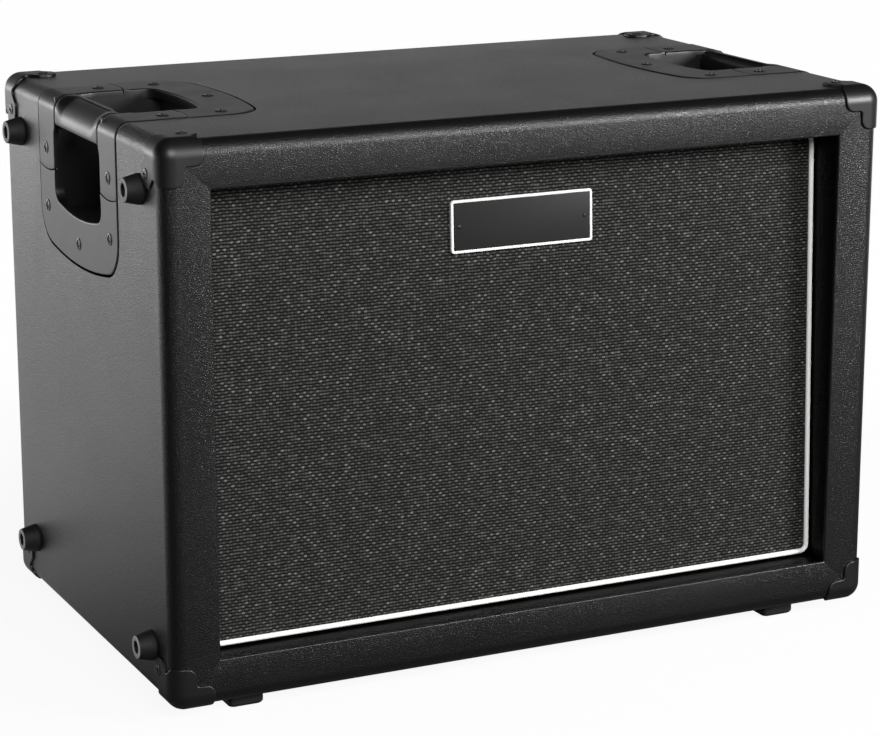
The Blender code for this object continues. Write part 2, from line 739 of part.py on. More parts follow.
def build_back():
    """Back panel with its cleats, and the jack plate with two sockets."""
    low = (X_LEFT + PANEL + GAP, BACK_INNER, Z_BOTTOM + PANEL + GAP)
    high = (X_RIGHT - PANEL - GAP, BACK_FACE, Z_TOP - PANEL - GAP)
    panel = add_part("back_panel", box_mesh("back_panel", low, high), "vinyl")
    plate_centre = Vector((X_CENTRE, BACK_FACE + GAP, Z_BOTTOM + JACK_PLATE_CENTRE_Z))
    face = axes((-1, 0, 0), (0, 0, 1), (0, 1, 0), plate_centre)
    hole = rounded_rectangle(DISH_WIDTH + 2 * GAP, DISH_HEIGHT + 2 * GAP, DISH_CORNER + GAP)
    hole = plate_mesh("jack_hole", [hole], -BACK_THICKNESS - OVERSHOOT, OVERSHOOT, face)
    combine(panel, "DIFFERENCE", add_cutter("jack_hole", hole))
    places = []
    for column in range(BACK_SCREWS_ACROSS):
        for row in range(BACK_SCREWS_UP):
            if 0 < column < BACK_SCREWS_ACROSS - 1 and 0 < row < BACK_SCREWS_UP - 1:
                continue
            x_share = column / (BACK_SCREWS_ACROSS - 1)
            z_share = row / (BACK_SCREWS_UP - 1)
            x = low[0] + BACK_SCREW_INSET + (high[0] - low[0] - 2 * BACK_SCREW_INSET) * x_share
            z = low[2] + BACK_SCREW_INSET + (high[2] - low[2] - 2 * BACK_SCREW_INSET) * z_share
            places.append((x, BACK_FACE, z))
    heads = screw_heads("back_screws", places, BACK_SCREW_RADIUS, (0, 1, 0), -SCREW_SUNK,
                        SCREW_PROUD)
    combine(panel, "UNION", add_cutter("back_screws", joined_mesh("back_screws", heads)))

    front = BACK_INNER - GAP - CLEAT
    back = BACK_INNER - GAP
    under = low[2] + CLEAT
    over = high[2] - CLEAT
    cleats = {
        "rear_cleat_top": ((low[0], over), (high[0], high[2])),
        "rear_cleat_bottom": ((low[0], low[2]), (high[0], under)),
        "rear_cleat_left": ((low[0], under + GAP), (low[0] + CLEAT, over - GAP)),
        "rear_cleat_right": ((high[0] - CLEAT, under + GAP), (high[0], over - GAP)),
    }
    for name, (first, last) in cleats.items():
        mesh = box_mesh(name, (first[0], front, first[1]), (last[0], back, last[1]))
        add_part(name, mesh, "birch_ply")
    build_jack_plate(face)


def build_jack_plate(face):
    """Steel plate with a pressed dish, and the two jack sockets in the dish's floor."""
    outline = rounded_rectangle(JACK_PLATE_WIDTH, JACK_PLATE_HEIGHT, JACK_PLATE_CORNER)
    plate = add_part("jack_plate", plate_mesh("jack_plate", [outline], 0, JACK_PLATE_THICKNESS,
                                              face), "black_steel")
    outline = rounded_rectangle(DISH_WIDTH, DISH_HEIGHT, DISH_CORNER)
    dish = plate_mesh("dish", [outline], -DISH_DEPTH, JACK_PLATE_THICKNESS / 2, face)
    combine(plate, "UNION", add_cutter("dish_outside", dish))
    outline = rounded_rectangle(DISH_WIDTH - 2 * DISH_WALL, DISH_HEIGHT - 2 * DISH_WALL,
                                DISH_CORNER - DISH_WALL)
    dish = plate_mesh("dish", [outline], -DISH_DEPTH + DISH_WALL, OVERSHOOT, face)
    combine(plate, "DIFFERENCE", add_cutter("dish_inside", dish))
    screw_x = JACK_PLATE_WIDTH / 2 - JACK_PLATE_SCREW_INSET
    screw_y = JACK_PLATE_HEIGHT / 2 - JACK_PLATE_SCREW_INSET
    places = [face @ Vector((x, y, JACK_PLATE_THICKNESS))
              for x in (-screw_x, screw_x) for y in (-screw_y, screw_y)]
    heads = screw_heads("plate_screws", places, PLATE_SCREW_RADIUS, (0, 1, 0), -SCREW_SUNK,
                        SCREW_PROUD)
    combine(plate, "UNION", add_cutter("plate_screws", joined_mesh("plate_screws", heads)))
    floor = -DISH_DEPTH
    for index, side in enumerate((-1, 1), start=1):
        axis_x = side * JACK_SPACING / 2
        hole = rod_mesh("socket_hole", face @ Vector((axis_x, 0, floor - OVERSHOOT)),
                        face @ Vector((axis_x, 0, floor + OVERSHOOT)),
                        JACK_BARREL_RADIUS + GAP, SMALL_SIDES)
        combine(plate, "DIFFERENCE", add_cutter("socket_hole_%d" % index, hole))
        width, length, height = JACK_BODY
        body = box_mesh("socket", (axis_x - width / 2, -height / 2, floor - GAP - length),
                        (axis_x + width / 2, height / 2, floor - GAP))
        body.transform(face)
        socket = add_part("jack_socket_%d" % index, body, "black_plastic")
        top = floor + DISH_WALL + GAP + JACK_NUT_HEIGHT
        pieces = (
            ("barrel", "UNION", JACK_BARREL_RADIUS, SMALL_SIDES, floor - JACK_BARREL_ROOT, top),
            ("nut", "UNION", JACK_NUT_RADIUS, 6, top - JACK_NUT_HEIGHT, top),
            ("bore", "DIFFERENCE", JACK_BORE_RADIUS, SMALL_SIDES, floor - JACK_BORE_DEPTH,
             top + OVERSHOOT),
        )
        for label, operation, radius, sides, start, end in pieces:
            mesh = rod_mesh(label, face @ Vector((axis_x, 0, start)),
                            face @ Vector((axis_x, 0, end)), radius, sides)
            combine(socket, operation, add_cutter("%s_%d" % (label, index), mesh))


# Leaning baffle with the grille

def leaning_plane():
    """Empty on the cloth's front at the bottom of the opening, turned back by the lean."""
    lean = bpy.data.objects.new("baffle_plane", None)
    PARTS.objects.link(lean)
    lean.location = (X_CENTRE, Y_FRONT + GRILLE_RECESS, OPENING_BOTTOM)
    lean.rotation_euler = (-BAFFLE_LEAN, 0, 0)
    return lean


def grille_size():
    """Width and height of the grille in its own plane."""
    width = OPENING_WIDTH - 2 * GRILLE_MARGIN
    tilt = FRAME_BACK * math.tan(BAFFLE_LEAN)
    height = (OPENING_HEIGHT - 2 * GRILLE_MARGIN) / math.cos(BAFFLE_LEAN) - 2 * tilt
    return width, height


def build_grille(lean):
    """Wooden grille frame, stretched cloth, piping round the edge, and the badge."""
    width, height = grille_size()
    middle = OPENING_HEIGHT / 2 / math.cos(BAFFLE_LEAN)
    face = axes((1, 0, 0), (0, 0, 1), (0, -1, 0), Vector((0, 0, middle)))

    outer = rounded_rectangle(width, height, PIPING_CORNER)
    inner = rounded_rectangle(width - 2 * GRILLE_FRAME_WIDTH, height - 2 * GRILLE_FRAME_WIDTH,
                              PIPING_CORNER)
    frame = plate_mesh("grille_frame", [outer, inner], -FRAME_BACK, -FRAME_FRONT, face)
    add_part("grille_frame", frame, "birch_ply", parent=lean)

    path_width = width - 2 * PIPING_RADIUS
    path_height = height - 2 * PIPING_RADIUS
    path = rounded_rectangle(path_width, path_height, PIPING_CORNER)
    curve = bpy.data.curves.new("grille_piping", "CURVE")
    curve.dimensions = "3D"
    curve.bevel_depth = PIPING_RADIUS
    curve.bevel_resolution = 2
    spline = curve.splines.new("POLY")
    spline.points.add(len(path) - 1)
    for point, (x, y) in zip(spline.points, path):
        point.co = (x, 0, y + middle, 1)
    spline.use_cyclic_u = True
    piping = bpy.data.objects.new("grille_piping", curve)
    PARTS.objects.link(piping)
    curve.materials.append(material("grille_piping", "white_piping"))
    piping.location = (0, FRAME_FRONT - GAP - PIPING_RADIUS, 0)
    piping.parent = lean

    inset = 2 * PIPING_RADIUS + GAP
    cloth = rounded_rectangle(width - 2 * inset, height - 2 * inset, PIPING_CORNER)
    cloth = plate_mesh("grille_cloth", [cloth], -CLOTH_THICKNESS, 0, face)
    add_part("grille_cloth", cloth, "grille_cloth", parent=lean)

    badge_z = (OPENING_HEIGHT - BADGE_DROP - BADGE_HEIGHT / 2) / math.cos(BAFFLE_LEAN)
    face = axes((1, 0, 0), (0, 0, 1), (0, -1, 0), Vector((0, -GAP, badge_z)))
    outline = rounded_rectangle(BADGE_WIDTH, BADGE_HEIGHT, BADGE_CORNER)
    badge = add_part("badge_plate", plate_mesh("badge", [outline], 0, BADGE_THICKNESS, face),
                     "badge", parent=lean)
    field = [rounded_rectangle(BADGE_WIDTH - 2 * BADGE_RIM, BADGE_HEIGHT - 2 * BADGE_RIM,
                               BADGE_CORNER / 2)]
    for side in (-1, 1):
        field.append(circle((side * (BADGE_WIDTH / 2 - BADGE_PIN_INSET), 0), BADGE_PIN_RADIUS))
    field = plate_mesh("badge_field", field, BADGE_THICKNESS - BADGE_RIM_PROUD, OVERSHOOT, face)
    combine(badge, "DIFFERENCE", add_cutter("badge_field", field, parent=lean))


def build_baffle(lean):
    """Baffle board between the panels, with the driver's cut-out and bolt holes."""
    slope = math.cos(BAFFLE_LEAN)
    tilt = BAFFLE_BACK * math.tan(BAFFLE_LEAN)
    edge = PANEL + GAP
    half = BODY_WIDTH / 2 - edge
    low = (edge - RAIL_HEIGHT) / slope + tilt
    high = (BODY_HEIGHT - edge - RAIL_HEIGHT) / slope - tilt
    mesh = box_mesh("baffle", (-half, BAFFLE_FRONT, low), (half, BAFFLE_BACK, high))
    baffle = add_part("baffle", mesh, "birch_ply", parent=lean)
    centre = driver_centre()
    depth = Vector((0, BAFFLE_THICKNESS + OVERSHOOT, 0))
    holes = [rod_mesh("cutout", centre - depth, centre + depth, CUTOUT_RADIUS, DRIVER_SIDES)]
    for place in bolt_places():
        holes.append(rod_mesh("bolt_hole", centre + place - depth, centre + place + depth,
                              BOLT_RADIUS + GAP, SCREW_SIDES))
    combine(baffle, "DIFFERENCE", add_cutter("baffle_holes", joined_mesh("holes", holes),
                                             parent=lean))


def driver_centre():
    """Centre of the driver's flange in the leaning frame."""
    return Vector((0, FLANGE_FRONT, (BODY_HEIGHT / 2 - RAIL_HEIGHT) / math.cos(BAFFLE_LEAN)))


def bolt_places():
    """Bolt positions round the driver's axis, in the leaning frame."""
    places = []
    for index in range(BOLT_COUNT):
        angle = 2 * math.pi * (index + 0.5) / BOLT_COUNT
        places.append(Vector((BOLT_CIRCLE_RADIUS * math.cos(angle), 0,
                              BOLT_CIRCLE_RADIUS * math.sin(angle))))
    return places


# Driver, turned about its own axis with +Z to the rear

def build_driver(lean):
    """Basket, motor and moving parts of the driver on one axis square to the baffle."""
    axis = bpy.data.objects.new("driver_axis", None)
    PARTS.objects.link(axis)
    axis.parent = lean
    axis.location = driver_centre()
    axis.rotation_euler = (-math.pi / 2, 0, 0)

    half = SHEET / 2
    seat_radius = WALL_TOP_RADIUS
    seat_top = SPIDER_SEAT_DEPTH
    neck = SPIDER_SEAT_RADIUS - SPIDER_SEAT
    base = seat_top + NECK_DEPTH
    bore = COIL_RADIUS + AIR_GAP
    path = [(FLANGE_RADIUS, half), (seat_radius, half),
            (SPIDER_SEAT_RADIUS, seat_top + half), (neck, seat_top + half),
            (neck, base - half), (bore + SHEET, base - half)]
    basket = add_part("basket", turned_mesh("basket", sheet_profile(path, SHEET), DRIVER_SIDES),
                      "black_steel", parent=axis)
    shade(basket.data)
    cut_basket(basket, axis)

    gasket = [(FLANGE_RADIUS, -GAP), (FLANGE_RADIUS, -GAP - GASKET_THICKNESS),
              (CUTOUT_RADIUS, -GAP - GASKET_THICKNESS), (CUTOUT_RADIUS, -GAP)]
    gasket = add_part("basket_gasket", turned_mesh("gasket", gasket, DRIVER_SIDES),
                      "gasket_cork", parent=axis)
    shade(gasket.data)
    holes = [rod_mesh("hole", (p.x, -p.z, -OVERSHOOT), (p.x, -p.z, OVERSHOOT),
                      BOLT_RADIUS + GAP, SCREW_SIDES) for p in bolt_places()]
    holes = add_cutter("flange_holes", joined_mesh("flange_holes", holes), parent=axis)
    combine(gasket, "DIFFERENCE", holes)
    combine(basket, "DIFFERENCE", holes)

    build_motor(axis, base, bore)
    build_moving_parts(axis)
    build_bolts(axis)
    build_terminals(axis)


def cut_basket(basket, axis):
    """Windows in the basket's wall, narrower than the spaces between the spokes' roots."""
    mid = (WINDOW_INNER_RADIUS + WINDOW_OUTER_RADIUS) / 2
    share = (WALL_TOP_RADIUS - mid) / (WALL_TOP_RADIUS - SPIDER_SEAT_RADIUS)
    depth = share * SPIDER_SEAT_DEPTH
    windows = []
    for index in range(WINDOW_COUNT):
        angle = 2 * math.pi * (index + 0.5) / WINDOW_COUNT
        window = box_mesh("window", (WINDOW_INNER_RADIUS, -WINDOW_WIDTH / 2, -SPIDER_SEAT_DEPTH),
                          (WINDOW_OUTER_RADIUS, WINDOW_WIDTH / 2, SPIDER_SEAT_DEPTH))
        window.transform(Matrix.Rotation(angle, 4, "Z") @ Matrix.Translation((0, 0, depth)))
        windows.append(window)
    windows = add_cutter("windows", joined_mesh("windows", windows), parent=axis)
    combine(basket, "DIFFERENCE", windows)


def ring_profile(outer, inner, front, back):
    """Closed profile of a plain ring, down its outer side first."""
    return [(outer, back), (outer, front), (inner, front), (inner, back)]


def build_motor(axis, base, bore):
    """Front plate, ferrite ring, and back plate with its vented pole."""
    front = base + GAP
    magnet = front + FRONT_PLATE_THICKNESS + GAP
    back = magnet + MAGNET_THICKNESS + GAP
    end = back + BACK_PLATE_THICKNESS
    pole = COIL_RADIUS - COIL_THICKNESS - AIR_GAP
    profiles = {
        "front_plate": (ring_profile(FRONT_PLATE_RADIUS, bore, front,
                                     front + FRONT_PLATE_THICKNESS), "zinc_steel"),
        "magnet": (ring_profile(MAGNET_RADIUS, MAGNET_BORE, magnet,
                                magnet + MAGNET_THICKNESS), "ferrite"),
        "back_plate": ([(BACK_PLATE_RADIUS, end), (BACK_PLATE_RADIUS, back), (pole, back),
                        (pole, front), (VENT_RADIUS, front), (VENT_RADIUS, end)], "zinc_steel"),
    }
    for name, (profile, finish) in profiles.items():
        part = add_part(name, turned_mesh(name, profile, DRIVER_SIDES), finish, parent=axis)
        shade(part.data)


def build_moving_parts(axis):
    """Cone, dust cap and voice coil, with the surround and spider that hold them."""
    front_plate = SPIDER_SEAT_DEPTH + NECK_DEPTH + GAP
    coil_middle = front_plate + FRONT_PLATE_THICKNESS / 2
    coil_front = coil_middle - COIL_LENGTH + FRONT_PLATE_THICKNESS
    coil = ring_profile(COIL_RADIUS, COIL_RADIUS - COIL_THICKNESS, coil_front,
                        coil_front + COIL_LENGTH)
    neck = COIL_RADIUS + GAP + CONE_THICKNESS / 2
    neck_depth = coil_front + CONE_THICKNESS
    start = Vector((CONE_EDGE_RADIUS, CONE_EDGE_DEPTH))
    end = Vector((neck, neck_depth))
    path = [start, *bowed(start, end, -CONE_FLARE, CONE_STEPS), end]
    cone = sheet_profile(path, CONE_THICKNESS)

    cap_radius = DUST_CAP_RADIUS
    share = (CONE_EDGE_RADIUS - cap_radius) / (CONE_EDGE_RADIUS - neck)
    cap_edge = (start + (end - start) * share).y - CONE_FLARE * 4 * share * (1 - share)
    cap_edge -= 2 * CONE_THICKNESS
    cap = []
    for step in range(CAP_STEPS + 1):
        across = 1 - step / CAP_STEPS
        cap.append((cap_radius * across, cap_edge - DUST_CAP_RISE * (1 - across * across)))
    cap_back = [(radius, height + CONE_THICKNESS) for radius, height in cap]
    cap = cap_back[::-1] + cap

    seat_front = -SURROUND_THICKNESS / 2 - GAP
    outer = WALL_TOP_RADIUS + SURROUND_SEAT
    path = [(outer, seat_front), (WALL_TOP_RADIUS - GAP, seat_front)]
    span = WALL_TOP_RADIUS - CONE_EDGE_RADIUS - 2 * GAP - CONE_THICKNESS
    for step in range(1, ROLL_STEPS + 1):
        share = step / ROLL_STEPS
        rise = -SURROUND_ROLL * math.sin(2 * math.pi * share)
        path.append((WALL_TOP_RADIUS - GAP - span * share, seat_front + rise))
    surround = sheet_profile(path, SURROUND_THICKNESS)

    inner = COIL_RADIUS + GAP + SPIDER_THICKNESS / 2
    seat = SPIDER_SEAT_DEPTH - GAP - SPIDER_THICKNESS / 2
    path = [(SPIDER_SEAT_RADIUS - SHEET, seat)]
    steps = SPIDER_ROLLS * 2
    for step in range(steps + 1):
        free = SPIDER_SEAT_RADIUS - SPIDER_SEAT
        radius = free - (free - inner) * step / steps
        path.append((radius, seat - SPIDER_ROLL * (step % 2)))
    spider = sheet_profile(path, SPIDER_THICKNESS)

    parts = (("voice_coil", coil, "coil_copper"), ("cone", cone, "cone_paper"),
             ("surround", surround, "cone_paper"), ("spider", spider, "gasket_cork"))
    for name, profile, finish in parts:
        part = add_part(name, turned_mesh(name, profile, DRIVER_SIDES), finish, parent=axis)
        shade(part.data)
    part = add_part("dust_cap", turned_mesh("dust_cap", cap, DRIVER_SIDES, closed=False),
                    "cone_paper", parent=axis)
    shade(part.data)


def build_bolts(axis):
    """Bolts through baffle, gasket and flange, each with its head in front and a nut."""
    front = -GAP - GASKET_THICKNESS - GAP - BAFFLE_THICKNESS - GAP
    back = SHEET + GAP
    for index, place in enumerate(bolt_places(), start=1):
        low = Vector((place.x, -place.z, front - BOLT_HEAD))
        mesh = rod_mesh("bolt", low, low + Vector((0, 0, BOLT_HEAD)), BOLT_HEAD_RADIUS,
                        SCREW_SIDES)
        bolt = add_part("driver_bolt_%d" % index, mesh, "black_steel", parent=axis)
        pieces = (("shank", front - BOLT_HEAD / 2, back + NUT_HEIGHT + BOLT_RADIUS,
                   BOLT_RADIUS, SCREW_SIDES),
                  ("nut", back, back + NUT_HEIGHT, NUT_RADIUS, 6))
        for label, start, end, radius, sides in pieces:
            mesh = rod_mesh(label, (place.x, -place.z, start), (place.x, -place.z, end), radius,
                            sides)
            combine(bolt, "UNION", add_cutter("%s_bolt_%d" % (label, index), mesh, parent=axis))


def build_terminals(axis):
    """Terminal block on the basket's spider seat, with its two tags."""
    length, width, height = TERMINAL_SIZE
    back = SPIDER_SEAT_DEPTH + SHEET + GAP
    radius = SPIDER_SEAT_RADIUS - SPIDER_SEAT + SHEET / 2 + GAP
    block = box_mesh("terminal", (radius, -length / 2, back),
                     (radius + width, length / 2, back + height))
    terminal = add_part("terminal_block", block, "black_plastic", parent=axis)
    tag_width, tag_length, tag_thickness = TERMINAL_TAG
    for index, side in enumerate((-1, 1)):
        middle = side * length / 4
        tag = box_mesh("tag", (radius + width - tag_thickness, middle - tag_width / 2, back),
                       (radius + width + tag_length, middle + tag_width / 2,
                        back + tag_thickness))
        tag.transform(Matrix.Translation((0, 0, height / 2)))
        combine(terminal, "UNION", add_cutter("tag_%d" % index, tag, parent=axis))


# Corner protectors, bumpers and feet

def lobed_outline(grown):
    """Face with a screw: a leg along each edge and a round lobe between them."""
    low = -OVERSHOOT - grown
    leg = PROTECTOR_LEG + grown
    pinch_far, pinch_near = PROTECTOR_PINCH
    lobe = PROTECTOR_SCREW + PROTECTOR_LOBE_RADIUS
    start = PROTECTOR_LOBE_START
    corner = PROTECTOR_LEG_CORNER
    return rounded([(low, low, 0), (leg, low, 0), (leg, pinch_near / 2, corner),
                    (pinch_far, pinch_near, corner / 2),
                    (lobe, start, PROTECTOR_LOBE_RADIUS / 2), (lobe, lobe, PROTECTOR_LOBE_RADIUS),
                    (start, lobe, PROTECTOR_LOBE_RADIUS / 2),
                    (pinch_near, pinch_far, corner / 2), (pinch_near / 2, leg, corner),
                    (low, leg, 0)])


def plain_outline(grown):
    """Face without a screw: two round-ended legs that meet in a square notch."""
    low = -OVERSHOOT - grown
    leg = PROTECTOR_LEG + grown
    width = PROTECTOR_L_WIDTH
    corner = PROTECTOR_L_CORNER
    return rounded([(low, low, 0), (leg, low, 0), (leg, width, corner),
                    (width, width, PROTECTOR_LEG_CORNER / 2), (width, leg, corner),
                    (low, leg, 0)])


def corner_block(name, offset):
    """Corner of the body at the origin, grown by an offset: the body lies to +X, +Y and -Z."""
    size = 2 * PROTECTOR_LEG
    block = bpy.data.objects.new(name, box_mesh(name, (-offset, -offset, -size),
                                                (size, size, offset)))
    round_edges(block, EDGE_RADIUS + offset, EDGE_STEPS)
    CUTTERS.objects.link(block)
    mesh = evaluated_mesh(block)
    bpy.data.objects.remove(block)
    return mesh


def build_protectors():
    """One protector made at the origin for the top front left corner, mirrored to the others.

    Each face of the mask is a step larger than the one before, so no two ends share a plane.
    """
    side = axes((0, 1, 0), (0, 0, -1), (-1, 0, 0), (0, 0, 0))
    top = axes((1, 0, 0), (0, 1, 0), (0, 0, 1), (0, 0, 0))
    front = axes((1, 0, 0), (0, 0, -1), (0, -1, 0), (0, 0, 0))
    masks = []
    for name, outline, place in (("protector_side", lobed_outline, side),
                                 ("protector_top", lobed_outline, top),
                                 ("protector_front", plain_outline, front)):
        grown = len(masks) * PROTECTOR_LEG_STEP
        mesh = plate_mesh(name, [outline(grown)], -PROTECTOR_LEG_WRAP, OVERSHOOT + grown, place)
        masks.append(add_cutter(name, mesh))
    for mask in masks[1:]:
        combine(masks[0], "UNION", mask)
    cap = add_cutter("protector", corner_block("protector", PROTECTOR_PROUD))
    combine(cap, "INTERSECT", masks[0])
    combine(cap, "DIFFERENCE", add_cutter("protector_seat", corner_block("seat", GAP)))
    heads = []
    for place, out in ((side, (-1, 0, 0)), (top, (0, 0, 1))):
        centre = place @ Vector((PROTECTOR_SCREW, PROTECTOR_SCREW, PROTECTOR_PROUD))
        heads += screw_heads("head", [centre], PROTECTOR_SCREW_RADIUS, out, -SCREW_SUNK,
                             SCREW_PROUD)
    combine(cap, "UNION", add_cutter("protector_screws", joined_mesh("heads", heads)))
    master = evaluated_mesh(cap)
    shade(master)
    for x_name, x, x_flip in (("left", X_LEFT, False), ("right", X_RIGHT, True)):
        for y_name, y, y_flip in (("front", Y_FRONT, False), ("rear", Y_BACK, True)):
            for z_name, z, z_flip in (("top", Z_TOP, False), ("bottom", Z_BOTTOM, True)):
                mesh = master.copy()
                for axis, flip in enumerate((x_flip, y_flip, z_flip)):
                    if flip:
                        mesh = mirrored_mesh(mesh, axis, 0)
                name = "protector_%s_%s_%s" % (x_name, y_name, z_name)
                add_part(name, mesh, "black_plastic", (x, y, z))


def build_bumpers():
    """Four tapered rubber bumpers on the left side, each with a deep screw hole."""
    round_tip = BUMPER_TIP_ROUND
    low = GAP
    tip = BUMPER_HEIGHT
    profile = [(0, tip - BUMPER_HOLE_DEPTH), (BUMPER_HOLE_RADIUS, tip - BUMPER_HOLE_DEPTH),
               (BUMPER_HOLE_RADIUS, tip), (BUMPER_TIP_RADIUS - round_tip, tip),
               (BUMPER_TIP_RADIUS, tip - round_tip), (BUMPER_BASE_RADIUS, low), (0, low)]
    mesh = turned_mesh("bumper", profile, SMALL_SIDES, closed=False)
    shade(mesh)
    touching = PROTECTOR_LOBE_RADIUS + BUMPER_BASE_RADIUS
    for y_name, y_edge, inward, clearance in (("front", Y_FRONT, 1, BUMPER_FRONT_CLEARANCE),
                                              ("rear", Y_BACK, -1, BUMPER_REAR_CLEARANCE)):
        away = touching + clearance
        y = y_edge + inward * (PROTECTOR_SCREW + away * math.cos(BUMPER_ANGLE))
        rise = PROTECTOR_SCREW + away * math.sin(BUMPER_ANGLE)
        for z_name, z in (("top", Z_TOP - rise), ("bottom", Z_BOTTOM + rise)):
            name = "bumper_%s_%s" % (y_name, z_name)
            add_part(name, mesh.copy(), "rubber", (X_LEFT, y, z), (0, -math.pi / 2, 0))


def build_feet():
    """Four rubber feet under the bottom panel, each with a screw hole."""
    half_width = FOOT_WIDTH / 2
    half_depth = FOOT_DEPTH / 2
    for x_name, x in (("left", X_LEFT + FOOT_SIDE_INSET + half_width),
                      ("right", X_RIGHT - FOOT_SIDE_INSET - half_width)):
        for y_name, y in (("front", Y_FRONT + FOOT_END_INSET + half_depth),
                          ("rear", Y_BACK - FOOT_END_INSET - half_depth)):
            name = "foot_%s_%s" % (y_name, x_name)
            mesh = box_mesh(name, (-half_width, -half_depth, 0),
                            (half_width, half_depth, FOOT_HEIGHT - GAP))
            foot = add_part(name, mesh, "rubber", (x, y, 0))
            round_edges(foot, FOOT_ROUND, 2)
            hole = rod_mesh("foot_hole", (0, 0, -OVERSHOOT), (0, 0, FOOT_HOLE_DEPTH),
                            FOOT_HOLE_RADIUS, SCREW_SIDES)
            combine(foot, "DIFFERENCE", add_cutter(name + "_hole", hole, (x, y, 0)))


def build_cabinet():
    """Make every sub-part of the cabinet."""
    lean = leaning_plane()
    build_panels()
    build_front_battens(lean)
    build_back()
    build_baffle(lean)
    build_grille(lean)
    build_driver(lean)
    build_handles()
    build_protectors()
    build_bumpers()
    build_feet()


build_cabinet()
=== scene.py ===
"""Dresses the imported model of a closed-back guitar speaker cabinet, and lights it."""

import functools
import itertools
import json
import math

import bmesh
import bpy
import numpy as np
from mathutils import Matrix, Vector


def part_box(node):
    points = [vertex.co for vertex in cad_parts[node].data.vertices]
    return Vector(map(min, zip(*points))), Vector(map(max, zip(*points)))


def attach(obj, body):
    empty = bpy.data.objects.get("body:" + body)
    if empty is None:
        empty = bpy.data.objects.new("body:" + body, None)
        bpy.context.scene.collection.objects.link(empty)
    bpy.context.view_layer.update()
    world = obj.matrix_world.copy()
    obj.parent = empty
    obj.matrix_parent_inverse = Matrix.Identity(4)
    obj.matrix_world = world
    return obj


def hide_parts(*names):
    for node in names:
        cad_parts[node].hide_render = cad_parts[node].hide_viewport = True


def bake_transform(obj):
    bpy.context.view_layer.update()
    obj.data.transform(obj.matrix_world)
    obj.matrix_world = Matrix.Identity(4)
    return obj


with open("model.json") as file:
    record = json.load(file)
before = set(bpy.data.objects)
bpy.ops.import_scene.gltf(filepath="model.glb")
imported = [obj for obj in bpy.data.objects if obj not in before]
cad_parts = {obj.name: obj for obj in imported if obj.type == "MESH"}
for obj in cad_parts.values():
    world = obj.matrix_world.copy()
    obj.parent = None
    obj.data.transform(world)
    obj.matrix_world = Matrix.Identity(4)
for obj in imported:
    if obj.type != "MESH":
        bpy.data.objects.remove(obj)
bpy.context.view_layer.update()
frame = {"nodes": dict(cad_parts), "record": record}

bl_info = {
    "name": "Guitar speaker cabinet",
    "version": (1, 0, 0),
    "blender": (4, 5, 0),
    "location": "View3D > Sidebar > Cabinet",
    "description": "Makes the covering, grille, handles and fittings of a guitar speaker "
                   "cabinet",
    "category": "Object",
}

MM = 0.001

# The wooden body's box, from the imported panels
LEFT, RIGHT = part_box("left_panel")[0].x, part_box("right_panel")[1].x
FRONT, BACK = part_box("top_panel")[0].y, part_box("top_panel")[1].y
BOTTOM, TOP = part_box("bottom_panel")[0].z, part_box("top_panel")[1].z
MIDDLE = (LEFT + RIGHT) / 2

# The grille leans back by two degrees from this line, low in the opening, and has round
# corners
LEAN = math.radians(2)
RECESS = 21 * MM
GRILLE_CORNER = 5 * MM
OPENING_BOTTOM = BOTTOM + 33 * MM

# The handles: half the mouth's length, the saddle's seam from the edge, and the flange's
# face, rim and corner
MOUTH_HALF = 49.4 * MM
SADDLE_SEAM = 52 * MM
FLANGE_PROUD = 0.5 * MM
FLANGE_RIM = 1.2 * MM
FLANGE_CORNER = 21 * MM

# From the middle of the jack plate to each socket
SOCKET_OFFSET = 22 * MM

# Where each face lies, and which way is inwards from it
SIDES = {"left": (LEFT, 1), "right": (RIGHT, -1)}
ENDS = {"front": (FRONT, 1), "rear": (BACK, -1)}
LEVELS = {"bottom": (BOTTOM, 1), "top": (TOP, -1)}

# Where a shape's own x, y and z axes point when its z axis faces out of one side of the body
FACING = {
    "left": ((0, 1, 0), (0, 0, 1), (-1, 0, 0)), "right": ((0, 1, 0), (0, 0, 1), (1, 0, 0)),
    "top": ((1, 0, 0), (0, 1, 0), (0, 0, 1)), "bottom": ((1, 0, 0), (0, 1, 0), (0, 0, -1)),
    "back": ((-1, 0, 0), (0, 0, 1), (0, 1, 0)),
}

# Node settings that are used often
SMOOTH = {"interpolation_type": "SMOOTHSTEP"}
COLOURS = {"data_type": "RGBA"}


def middle_of(node):
    """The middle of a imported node's box."""
    return np.array([(low + high) / 2 for low, high in zip(*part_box(node))])


# Colours and nodes

def linear(code):
    """An sRGB hex colour as linear red, green, blue and alpha."""
    share = np.array([int(code[i:i + 2], 16) for i in (1, 3, 5)]) / 255
    share = np.where(share > 0.04045, ((share + 0.055) / 1.055) ** 2.4, share / 12.92)
    return (*share.tolist(), 1.0)


def add_node(tree, kind, *values, out=0, named=None, **settings):
    """Adds a node and gives back one of its outputs, by number among those in use or by name.

    The kind may be followed by the operation. Values go to the inputs in use in their order,
    or by name: a number, a hex colour, a socket that feeds the input, or None to leave it.
    """
    kind, *operation = kind.split()
    node = tree.nodes.new("ShaderNode" + kind)
    if operation:
        node.operation = operation[0]
    for name, value in settings.items():
        setattr(node, name, value)
    pairs = list(zip([socket for socket in node.inputs if socket.enabled], values))
    pairs += [(node.inputs[name], value) for name, value in (named or {}).items()]
    for socket, value in pairs:
        if isinstance(value, bpy.types.NodeSocket):
            tree.links.new(value, socket)
        elif value is not None:
            socket.default_value = linear(value) if isinstance(value, str) else value
    if isinstance(out, str):
        return node.outputs[out]
    outputs = [socket for socket in node.outputs if socket.enabled]
    return outputs[out] if outputs else None


